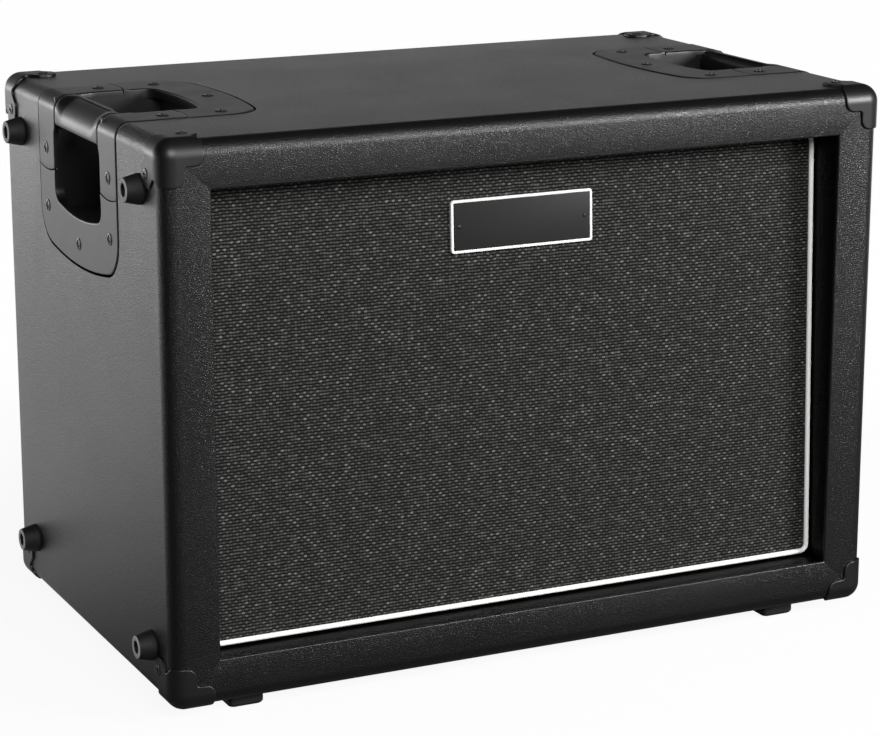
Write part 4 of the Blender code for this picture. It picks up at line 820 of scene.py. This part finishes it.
def handle_screws(side):
    """Countersunk cross-head screws on both faces: four in the saddle and six in the shell."""
    head = cross_head(4.7, 1.1, 1.8, 6.0, 1.8)
    high = FLANGE_PROUD - 0.2 * MM
    shapes = []
    for t, s in ((-67, 39.5), (67, 39.5), (-67, 81.5), (67, 81.5), (0, 97.5)):
        t, s = t * MM, s * MM
        shapes += [placed(head, side, at_edge(side, -high, t, s)),
                   placed(head, "top", at_edge(side, s, t, -high))]
    return joined(shapes)


# Grille

def leaning(points):
    """Carries (x from the middle, height up the grille, distance in front of it) onto the
    leaning plane."""
    x, h, d = np.moveaxis(np.asarray(points, float), -1, 0)
    y = FRONT + RECESS + h * math.sin(LEAN) - d * math.cos(LEAN)
    z = OPENING_BOTTOM + h * math.cos(LEAN) + d * math.sin(LEAN)
    return np.stack([MIDDLE + x, y, z], -1)


def grille_size():
    """Width and height of the grille in its own plane, and the height of its middle."""
    low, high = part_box("grille_frame")
    thickness, both_rails = 9 * MM, 66 * MM
    width = high.x - low.x
    height = (high.z - low.z - thickness * math.sin(LEAN)) / math.cos(LEAN)
    middle = ((TOP - BOTTOM) - both_rails) / 2 / math.cos(LEAN)
    return width, height, middle


# What a user may change

def length(name, description, default, least):
    """A size in metres, with its default and its least value in millimetres."""
    return bpy.props.FloatProperty(name=name, description=description, default=default * MM,
                                   min=least * MM, unit="LENGTH")


def colour(name, description, code):
    """A colour with a hex code as its default."""
    return bpy.props.FloatVectorProperty(name=name, description=description, min=0, max=1,
                                         subtype="COLOR", size=4, default=linear(code))


class CabinetSettings(bpy.types.PropertyGroup):
    """Sizes and colours that a user may change before making the pieces"""

    edge_radius: length("Edge radius", "Roundover on every outer edge of the body", 11, 2)
    panel: length("Panel", "Thickness of the body's panels", 15, 6)
    stile_width: length("Stile width", "Front frame at the left and right", 34.5, 15)
    rail_height: length("Rail height", "Front frame at the top and bottom", 33, 15)
    grain_size: length("Grain", "Size of the covering's embossed grain", 1.3, 0.3)
    warp_pitch: length("Warp pitch", "Spacing of the grille cloth's upright yarns", 2.46, 0.3)
    weft_pitch: length("Weft pitch", "Spacing of the grille cloth's level yarns", 2.25, 0.3)
    protector_leg: length("Protector leg", "Reach of a corner protector along the edges",
                          30, 15)
    protector_proud: length("Protector height", "How far a corner protector stands proud",
                            1.7, 0.5)
    bumper_height: length("Bumper height", "Height of the rubber bumpers on the left side",
                          12, 3)
    handle_half: length("Handle half length", "Half the handle's length along the depth",
                        83.3, 50)
    handle_reach: length("Handle reach", "From the edge to the far side of the flange",
                         113, 60)
    handle_sag: length("Handle bow", "Bow of the flange's far side", 10.5, 0)
    vinyl_colour: colour("Covering", "Colour of the vinyl covering", "#0e0e0f")
    plastic_colour: colour("Plastic", "Colour of handles and protectors", "#0d0d0e")
    rubber_colour: colour("Rubber", "Colour of bumpers and feet", "#070707")
    cloth_colour: colour("Grille cloth", "Colour of the brightest crowns of the weave",
                         "#777774")
    piping_colour: colour("Piping", "Colour of the piping round the grille", "#fbfbf8")
    badge_colour: colour("Badge", "Colour of the bare badge plate", "#141415")


class CABINET_OT_covering(bpy.types.Operator):
    """Four mitred sides of the covered body with the front frame, let in for the handles"""

    bl_idname = "cabinet.covering"
    bl_label = "Covered body"

    def execute(self, context):
        settings = context.scene.cabinet_settings
        # Each side's two corners, the angle it starts from and how deep its frame reaches
        rows = (("top", (-1, 1), (1, 1), 135, 42 * MM),
                ("right", (1, 1), (1, -1), 45, 42 * MM),
                ("bottom", (1, -1), (-1, -1), -45, 31 * MM),
                ("left", (-1, -1), (-1, 1), -135, 42 * MM))
        for name, first, last, angle, depth in rows:
            frame_node = "front_rail_" if name in LEVELS else "front_stile_"
            piece = new_piece("body_" + name, swept_wall(settings, first, last, angle, depth),
                              "vinyl", replaces=(name + "_panel", frame_node + name))
            for side in SIDES:
                if name in (side, "top"):
                    self.let_in(settings, piece, side)
        return {"FINISHED"}

    def let_in(self, settings, piece, side):
        """Takes the flange's outline, grown by its open groove, out of both faces."""
        t, s = flange_outline(settings, 1.6 * MM).T
        depth = np.array([[-12 * MM], [settings.panel + 1 * MM]])
        for face, inward, down in (("side", depth, s), ("top", s, depth)):
            cut_by(piece, "let_in_" + face, lofted(at_edge(side, inward, t, down)))


class CABINET_OT_protectors(bpy.types.Operator):
    """Eight moulded corner protectors, each held by two screws"""

    bl_idname = "cabinet.protectors"
    bl_label = "Corner protectors"

    def execute(self, context):
        settings = context.scene.cabinet_settings
        shape = protector_shape(settings)
        place, proud = 23.5 * MM, settings.protector_proud
        head = cross_head(4, 0.9, 1.0, 4.6, 1.2)
        pair = joined([placed(head, "left", (-proud, place, place)),
                       placed(head, "bottom", (place, place, -proud))])
        heads = []
        for side, end, level in itertools.product(SIDES, ENDS, LEVELS):
            name = "%s_%s_%s" % (side, end, level)
            new_piece("corner_" + name, at_corner(shape, side, end, level), "black_plastic",
                      replaces=("protector_" + name,))
            heads.append(at_corner(pair, side, end, level))
        new_piece("corner_screws", joined(heads), "black_steel", finish="blackened_steel")
        return {"FINISHED"}


class CABINET_OT_handles(bpy.types.Operator):
    """Two corner-edge handles: moulded shell, saddle with its grip, and screws"""

    bl_idname = "cabinet.handles"
    bl_label = "Handles"

    def execute(self, context):
        settings = context.scene.cabinet_settings
        for side in SIDES:
            shell = joined([shell_plate(settings, side, "side"),
                            shell_plate(settings, side, "top"), hand_cup(side)])
            saddle = joined([saddle_strip(settings, side, 1), saddle_strip(settings, side, -1),
                             grip_bar(settings, side)])
            new_piece("shell_" + side, shell, "black_plastic",
                      replaces=("handle_shell_" + side,))
            new_piece("saddle_" + side, saddle, "black_plastic",
                      replaces=("handle_grip_" + side,))
            new_piece("handle_screws_" + side, handle_screws(side), "black_steel",
                      finish="blackened_steel")
        return {"FINISHED"}


class CABINET_OT_bumpers(bpy.types.Operator):
    """Four tapered rubber bumpers on the left side, with their sunk screws, and four feet"""

    bl_idname = "cabinet.bumpers"
    bl_label = "Bumpers and feet"

    def execute(self, context):
        high = context.scene.cabinet_settings.bumper_height / MM
        below, inside = round_over(0.9, 5)
        hole, sunk = 4.4, 6.5
        profile = np.vstack([
            [(0.01, 0), (10.4, 0), (10.6, 0.6), (10.3, 2.4)],
            np.stack([8.2 - inside, high - below], -1),
            [(hole + 0.6, high), (hole, high - 0.6), (hole, high - sunk),
             (0.01, high - sunk)]])
        shape = turned(profile * MM, 48)
        head = cross_head(3.9, 1.2, 1.0, 4.4, 1.2)
        heads = []
        for end, level in itertools.product(ENDS, LEVELS):
            node = "bumper_%s_%s" % (end, level)
            _, y, z = middle_of(node)
            new_piece("rubber_" + node, placed(shape, "left", (LEFT, y, z)), "rubber",
                      replaces=(node,))
            heads.append(placed(head, "left", (LEFT - (high - sunk) * MM, y, z)))
        new_piece("bumper_screws", joined(heads), "zinc_steel")
        for end, side in itertools.product(ENDS, SIDES):
            self.make_foot("foot_%s_%s" % (end, side))
        return {"FINISHED"}

    def make_foot(self, node):
        """A block with round corners and a round lower edge, and the screw hole below."""
        below, inside = round_over(3 * MM, 6)
        low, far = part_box(node)
        wide, deep, high = far - low
        inset = np.concatenate([[0, 0], 2 * inside])
        hole = np.array([12, 10.4, 10, 10]) * MM
        radius = np.concatenate([np.full(len(inset), 3.5 * MM), hole / 2])
        level = np.concatenate([[high, high - 2 * MM], below,
                                np.array([0, 0.2, 0.8, 6]) * MM])
        loops = rectangle_loops(np.concatenate([wide - inset, hole]),
                                np.concatenate([deep - inset, hole]), radius, level)
        x, y, _ = middle_of(node)
        new_piece("rubber_" + node, placed(lofted(loops), "top", (x, y, low.z)), "rubber",
                  replaces=(node,))


class CABINET_OT_grille(bpy.types.Operator):
    """Stretched grille cloth, the piping round its edge and the bare badge plate"""

    bl_idname = "cabinet.grille"
    bl_label = "Grille"

    def execute(self, context):
        self.make_cloth()
        self.make_piping()
        self.make_badge()
        return {"FINISHED"}

    def make_cloth(self):
        """A flat sheet whose edge dips under the piping, with its own map in metres."""
        width, height, middle = grille_size()
        inset = np.array([2.4, 3.0, 4.2, 5.5]) * MM
        dip = np.array([-0.9, -0.7, -0.1, 0.0]) * MM
        points, faces = lofted(rectangle_loops(width - 2 * inset, height - 2 * inset,
                                               np.full_like(inset, GRILLE_CORNER), dip))
        faces.pop(-2)
        piece = new_piece("grille_sheet", (leaning(points + (0, middle, 0)), faces),
                          "grille_cloth", replaces=("grille_cloth",))
        mesh = piece.data
        place = np.empty(len(mesh.vertices) * 3)
        mesh.vertices.foreach_get("co", place)
        place = place.reshape(-1, 3)
        up = (place[:, 2] - OPENING_BOTTOM) / math.cos(LEAN) - middle
        flat = np.stack([place[:, 0] - MIDDLE, up], -1)
        corner = np.empty(len(mesh.loops), np.int32)
        mesh.loops.foreach_get("vertex_index", corner)
        mesh.uv_layers.new(name="cloth").data.foreach_set("uv", flat[corner].ravel())
        thickness = piece.modifiers.new("thickness", "SOLIDIFY")
        thickness.thickness = 0.7 * MM
        thickness.offset = -1

    def make_piping(self):
        """A round cord of vinyl along the grille's edge: offset from its middle line =
        radius * (cosine inwards, sine out of the grille)."""
        width, height, middle = grille_size()
        radius = 1.9 * MM
        path = rectangle_loops([width - 2 * radius], [height - 2 * radius],
                               [GRILLE_CORNER], [0])[0, :, :2]
        path = even_line(path, 1.2 * MM)
        angle = np.linspace(0, 2 * np.pi, 12, endpoint=False)[:, None]
        flat = path[:, None] + inward_of(path)[:, None] * radius * np.cos(angle)
        out = np.broadcast_to(radius * np.sin(angle), flat.shape[:2] + (1,))
        loops = leaning(np.concatenate([flat, out], -1) + (0, middle, 0.6 * MM))
        loops = np.concatenate([loops, loops[:1]])
        new_piece("piping", lofted(loops, closed_ends=False), "white_piping",
                  replaces=("grille_piping",))

    def make_badge(self):
        """A thin plate, a raised rim round it and two rivets, all on the cloth."""
        width, height, corner = 110 * MM, 37 * MM, 2.5 * MM
        up = (middle_of("badge_plate")[2] - OPENING_BOTTOM) / math.cos(LEAN)
        place = (0, up, 0.3 * MM)

        def rings(inset, level, radius):
            inset, level = np.array(inset) * MM, np.array(level) * MM
            return leaning(rectangle_loops(width - 2 * inset, height - 2 * inset,
                                           radius(inset), level) + place)

        face = rings([0.3, 0.3, 0.8], [0, 1.7, 1.8],
                     lambda inset: np.full_like(inset, corner - 0.4 * MM))
        new_piece("badge_face", lofted(face), "badge", replaces=("badge_plate",))
        rim = rings([0, 0, 0.12, 0.4, 1.5, 1.78, 1.9, 1.9, 0],
                    [0, 1.8, 2.08, 2.2, 2.2, 2.08, 1.9, 1.2, 0],
                    lambda inset: np.maximum(corner - inset, 0.8 * MM))
        new_piece("badge_rim", lofted(rim, closed_ends=False), "badge", finish="white_enamel")
        below, inside = round_over(1, 6)
        dome = np.vstack([[(0.01, -0.6), (1.6, -0.6)],
                          np.stack([1.6 * (1 - inside), 0.7 * (1 - below)], -1)]) * MM
        dome[-1, 0] = 0.01 * MM
        points, faces = turned(dome, 24)
        rivets = [(leaning(points + (side * (width / 2 - 6 * MM), up, 2.1 * MM)), faces)
                  for side in (-1, 1)]
        new_piece("badge_rivets", joined(rivets), "black_steel")


class CABINET_OT_back(bpy.types.Operator):
    """Back panel let into the body with its screws, the jack plate and its two sockets"""

    bl_idname = "cabinet.back"
    bl_label = "Back and sockets"

    def execute(self, context):
        self.make_panel()
        self.make_plate()
        self.make_sockets()
        return {"FINISHED"}

    def dish_middle(self):
        """The middle of the jack plate in x and z, and the y of its flat underside."""
        x, _, z = middle_of("jack_plate")
        return x, z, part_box("jack_plate")[1].y - 2.4 * MM

    def make_panel(self):
        """A slab with a round edge and the dish's hole, and ten screws round its edge."""
        low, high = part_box("back_panel")
        width, tall = high.x - low.x, high.z - low.z
        x, _, z = middle_of("back_panel")
        face, edge = 12 * MM, 1.5 * MM
        below, inside = round_over(edge, 4)
        rounds = rectangle_loops(width - 2 * inside, tall - 2 * inside,
                                 np.full_like(below, edge), face - below)
        flat = 2 * edge + 1 * MM
        holder = rectangle_loops([width - flat], [tall - flat], [edge], [face])
        back = rectangle_loops([width], [tall], [edge], [0])
        hole = rectangle_loops([95 * MM] * 2, [53 * MM] * 2, [10.5 * MM] * 2, [face, 0])
        dish_x, dish_z, _ = self.dish_middle()
        hole += (x - dish_x, dish_z - z, 0)
        slab = lofted(np.concatenate([back, rounds, holder, hole, back]), closed_ends=False)
        new_piece("back_cover", placed(slab, "back", (x, low.y, z)), "vinyl",
                  replaces=("back_panel",), crease=30)
        head = cross_head(4.5, 1.1, 1.2, 5.4, 1.6)
        inside = 11 * MM
        heads = []
        for column, row in itertools.product(range(4), range(3)):
            if column in (0, 3) or row != 1:
                place = (low.x + inside + (width - 2 * inside) * column / 3, low.y + face,
                         low.z + inside + (tall - 2 * inside) * row / 2)
                heads.append(placed(head, "back", place))
        new_piece("back_screws", joined(heads), "black_steel", finish="blackened_steel")

    def make_plate(self):
        """A pressed plate: from the middle of the dish's underside out along the plate, over
        its round edge, in to the dish's rolled lip and down its wall to a filleted floor.

        Rows hold half the width, half the height, the corner's radius and the level in
        millimetres.
        """
        x, z, y = self.dish_middle()
        fillet, edge, lip = [list(zip(*round_over(size, 6))) for size in (4, 1.2, 2.5)]
        rows = [(44, 8, 1, -26)]
        rows += [(47 - a, 26 - a, 10, b - 26) for a, b in fillet]
        rows += [(47, 26, 10, 0), (63, 41, 8, 0)]
        rows += [(63 - b, 41 - b, 8, 2 - a) for a, b in edge]
        rows += [(45 + a, 24 + a, 8 + a, 2 - b) for a, b in lip]
        rows += [(45 - b, 24 - b, 8, a - 24) for a, b in fillet]
        half, tall, radius, level = np.array(rows).T * MM
        shape = lofted(rectangle_loops(2 * half, 2 * tall, np.minimum(radius, tall), level))
        piece = new_piece("jack_dish", placed(shape, "back", (x, y, z)), "black_steel",
                          replaces=("jack_plate",), crease=35)
        profile = np.array([(0.01, -40), (4.9, -40), (4.9, -15), (0.01, -15)]) * MM
        hole = turned(profile, 32)
        holes = [placed(hole, "back", (x + side * SOCKET_OFFSET, y, z)) for side in (1, -1)]
        cut_by(piece, "socket_holes", joined(holes), crease=35)
        head = cross_head(3.5, 0.9, 1.0, 4.2, 1.2)
        heads = [placed(head, "back", (x + a * 54 * MM, y + 2 * MM, z + b * 32 * MM))
                 for a in (-1, 1) for b in (-1, 1)]
        new_piece("plate_screws", joined(heads), "black_steel", finish="blackened_steel")

    def make_sockets(self):
        """A moulded box with a bush and its bore in one shape, and a hexagonal nut."""
        x, z, y = self.dish_middle()
        floor = 24 * MM
        rows = [(r, r, r, level) for r, level in ((3.4, -23), (3.4, 3.2), (3.9, 3.8),
                                                  (4.3, 3.8), (4.7, 3.4), (4.7, -2.3))]
        rows += [(9, 8, 1, -2.3), (10, 9, 1.5, -3.3), (10, 9, 1.5, -27.3), (9, 8, 1, -28.3)]
        half, tall, radius, level = np.array(rows).T * MM
        shape = lofted(rectangle_loops(2 * half, 2 * tall, radius, level))
        profile = np.array([(4.5, 0.1), (7.6, 0.1), (7.8, 0.4), (7.8, 2.5), (7.2, 3.1),
                            (5.4, 3.1), (4.5, 2.7)]) * MM
        corners = 6
        points, _ = turned(profile, corners)
        ring = lofted(np.concatenate([points, points[:corners]]).reshape(-1, corners, 3),
                      closed_ends=False)
        for index, side in enumerate((1, -1), start=1):
            place = (x + side * SOCKET_OFFSET, y - floor, z)
            new_piece("socket_%d" % index, placed(shape, "back", place), "black_plastic",
                      replaces=("jack_socket_%d" % index,), crease=35)
            new_piece("socket_nut_%d" % index, placed(ring, "back", place), "zinc_steel")


class CABINET_OT_suspension(bpy.types.Operator):
    """The driver's surround and spider, which flex between its basket and its cone"""

    bl_idname = "cabinet.suspension"
    bl_label = "Driver suspension"

    def execute(self, context):
        share = np.linspace(0, 1, 29)
        seat, free, inner = 139 * MM, 126.7 * MM, 117.4 * MM
        roll = -2.2 * MM * np.sin(2 * np.pi * share)
        line = np.stack([free - (free - inner) * share, roll], -1)
        # The roll's last four points give way to a soft lip that leads onto the cone
        lip = [(117.6, 1.6), (116.9, 2.1), (116.3, 2.9), (115.7, 3.6), (114.8, 4.15)]
        line = np.vstack([[(seat, 0.0)], line[:-4], np.array(lip) * MM])
        self.flexing_ring("surround", line, 1 * MM, 16, (124.2 * MM, 117.8 * MM),
                          "cone_paper")
        depth = 56.1 * MM
        seat, free, inner = 58 * MM, 52 * MM, 23.5 * MM
        roll = depth - 0.8 * MM * (1 - np.cos(6 * np.pi * share))
        line = np.stack([free - (free - inner) * share, roll], -1)
        line = np.vstack([[(seat, depth)], line])
        self.flexing_ring("spider", line, 0.8 * MM, 8, (47.5 * MM, 24 * MM), "gasket_cork")
        return {"FINISHED"}

    def flexing_ring(self, node, line, thickness, sectors, spans, slot):
        """A ring of sheet turned from a line of (radius, depth), as equal sectors: the line
        is moved by half the thickness each way along its normal.

        Each sector is a closed piece of its own, and neighbouring sectors meet at the same
        angle.
        The spans, from the radius that stays with the cabinet to the one that goes with the
        cone, are not used.
        """
        middle = middle_of("surround")
        ahead = np.array([0, -math.cos(LEAN), math.sin(LEAN)])
        up = np.array([0, math.sin(LEAN), math.cos(LEAN)])
        along = np.gradient(line, axis=0)
        along /= np.linalg.norm(along, axis=1)[:, None]
        half = thickness / 2 * np.stack([along[:, 1], -along[:, 0]], -1)
        section = np.vstack([line - half, (line + half)[::-1]])
        radius, depth = section[:, 0], section[:, 1]
        step, round_steps = 2 * np.pi / sectors, 96

        def at(angle, radius, depth):
            flat = np.multiply.outer(radius * np.cos(angle), (1, 0, 0))
            return (middle + flat + np.multiply.outer(radius * np.sin(angle), up)
                    - np.multiply.outer(depth, ahead))

        for index in range(sectors):
            turn = np.linspace(index, index + 1, round_steps // sectors + 1) * step
            loops = np.array([at(angle, radius, depth) for angle in turn])
            piece = new_piece("%s_part_%d" % (node, index + 1), lofted(loops), slot, body=None,
                              replaces=(node,))
            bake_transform(piece)


class CABINET_OT_stage(bpy.types.Operator):
    """Pale floor, soft lamps and the camera"""

    bl_idname = "cabinet.stage"
    bl_label = "Stage"

    def execute(self, context):
        self.make_floor()
        self.make_lamps()
        self.make_world(context)
        self.make_camera(context)
        return {"FINISHED"}

    def make_floor(self):
        """A wide white floor that shows as white and keeps a share of the object's shadow.

        Gloss sees the white paper behind the object and the dark studio in front of it.
        """
        mesh = bpy.data.meshes.new("floor")
        mesh.from_pydata([(-15, -15, 0), (15, -15, 0), (15, 15, 0), (-15, 15, 0)], [],
                         [(0, 1, 2, 3)])
        made = bpy.data.materials.new("studio_paper")
        add = adder_for(made)
        camera = add("LightPath", out="Is Camera Ray")
        paper = add("BsdfDiffuse", add("Mix", camera, "#606060", "#ffffff", **COLOURS))
        place = add("TexCoord", out="Object")
        x, y = add("SeparateXYZ", place, out=slice(2))
        # Behind the object, ahead of it on the right, and away from it, by metres on the floor
        behind = add("MapRange", y, -0.2, 0.6, **SMOOTH)
        ahead = add("Math MULTIPLY", add("MapRange", y, -0.4, -1.8, **SMOOTH),
                    add("MapRange", x, -0.6, 0.8, **SMOOTH))
        shown = add("Math MULTIPLY_ADD", ahead, 0.4, behind)
        away = add("MapRange", add("VectorMath LENGTH", place), 0.3, 0.9, **SMOOTH)
        share = seen_share(add, shown, add("MapRange", away, 0, 1, 0.92, 0.99), 0.9)
        add("OutputMaterial", add("MixShader", share, paper, add("Emission", "#ffffff", 1.0)))
        mesh.materials.append(made)
        new_object("floor", mesh)

    def make_lamps(self):
        """Soft boxes: one behind on the left for the side's sheen, two in front."""
        rows = (("left_box", (-2.2, 3.0, 0.3), (-0.27, 0.0, 0.2), 3.2, 0.5, 30),
                ("right_box", (1.65, -2.0, 1.0), (0.1, -0.1, 0.25), 0.8, 0.6, 68),
                ("front_box", (-0.6, -3.0, 1.9), (0.0, -0.1, 0.2), 2.2, 1.4, 92))
        for name, place, aim, width, height, power in rows:
            lamp = bpy.data.lights.new(name, "AREA")
            lamp.shape = "RECTANGLE"
            lamp.size, lamp.size_y = width, height
            lamp.energy = power
            box = new_object(name, lamp)
            box.location = place
            toward = np.array(aim) - np.array(place)
            flat = math.hypot(toward[0], toward[1])
            box.rotation_euler = (math.atan2(flat, -toward[2]), 0,
                                  math.atan2(toward[1], toward[0]) - math.pi / 2)

    def make_world(self, context):
        """White to the camera, and a dim studio with a low pale wall behind to the rest."""
        world = bpy.data.worlds.new("studio")
        context.scene.world = world
        add = adder_for(world)
        y, z = add("SeparateXYZ", add("TexCoord", out="Generated"), out=slice(1, 3))
        behind = add("Math MULTIPLY", add("MapRange", y, 0.3, 1.0, **SMOOTH),
                     add("MapRange", z, 0.36, 0.16, **SMOOTH))
        share = seen_share(add, behind, 1.0, 0.72)
        colour_seen = add("Mix", share, "#303030", "#ffffff", **COLOURS)
        add("OutputWorld", add("Background", colour_seen, 1.0))

    def make_camera(self, context):
        """A long lens from the left front, a little above the object."""
        azimuth, elevation = -25.61, 14.48
        data = bpy.data.cameras.new("camera")
        data.lens = 113.5
        data.sensor_width = 36
        camera = new_object("camera", data)
        context.scene.camera = camera
        camera.location = (-0.863, -1.819, 0.702)
        camera.rotation_euler = (math.radians(90 - elevation), 0, math.radians(azimuth))
        context.scene.view_settings.view_transform = "Standard"


STEPS = (CABINET_OT_covering, CABINET_OT_protectors, CABINET_OT_handles, CABINET_OT_bumpers,
         CABINET_OT_grille, CABINET_OT_back, CABINET_OT_suspension, CABINET_OT_stage)


class CABINET_PT_pieces(bpy.types.Panel):
    """Sizes, colours and the steps that make the cabinet, in the 3D view's sidebar"""

    bl_idname = "CABINET_PT_pieces"
    bl_label = "Guitar speaker cabinet"
    bl_space_type = "VIEW_3D"
    bl_region_type = "UI"
    bl_category = "Cabinet"

    def draw(self, context):
        settings = context.scene.cabinet_settings
        sizes = self.layout.column()
        for name in CabinetSettings.__annotations__:
            sizes.prop(settings, name)
        steps = self.layout.column()
        for each in STEPS:
            steps.operator(each.bl_idname)


CLASSES = (CabinetSettings, *STEPS, CABINET_PT_pieces)


def register():
    for each in CLASSES:
        bpy.utils.register_class(each)
    bpy.types.Scene.cabinet_settings = bpy.props.PointerProperty(type=CabinetSettings)


def unregister():
    del bpy.types.Scene.cabinet_settings
    for each in reversed(CLASSES):
        bpy.utils.unregister_class(each)


def dress_packed_nodes():
    """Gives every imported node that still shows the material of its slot."""
    for row in frame["record"]["subparts"]:
        made = material(SLOT_FINISHES[row["material_slot"]])
        for place in frame["nodes"][row["node"]].material_slots:
            place.material = made


def main():
    """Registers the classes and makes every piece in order."""
    register()
    dress_packed_nodes()
    for each in STEPS:
        getattr(bpy.ops.cabinet, each.bl_idname.split(".")[1])()


if __name__ == "__main__":
    main()
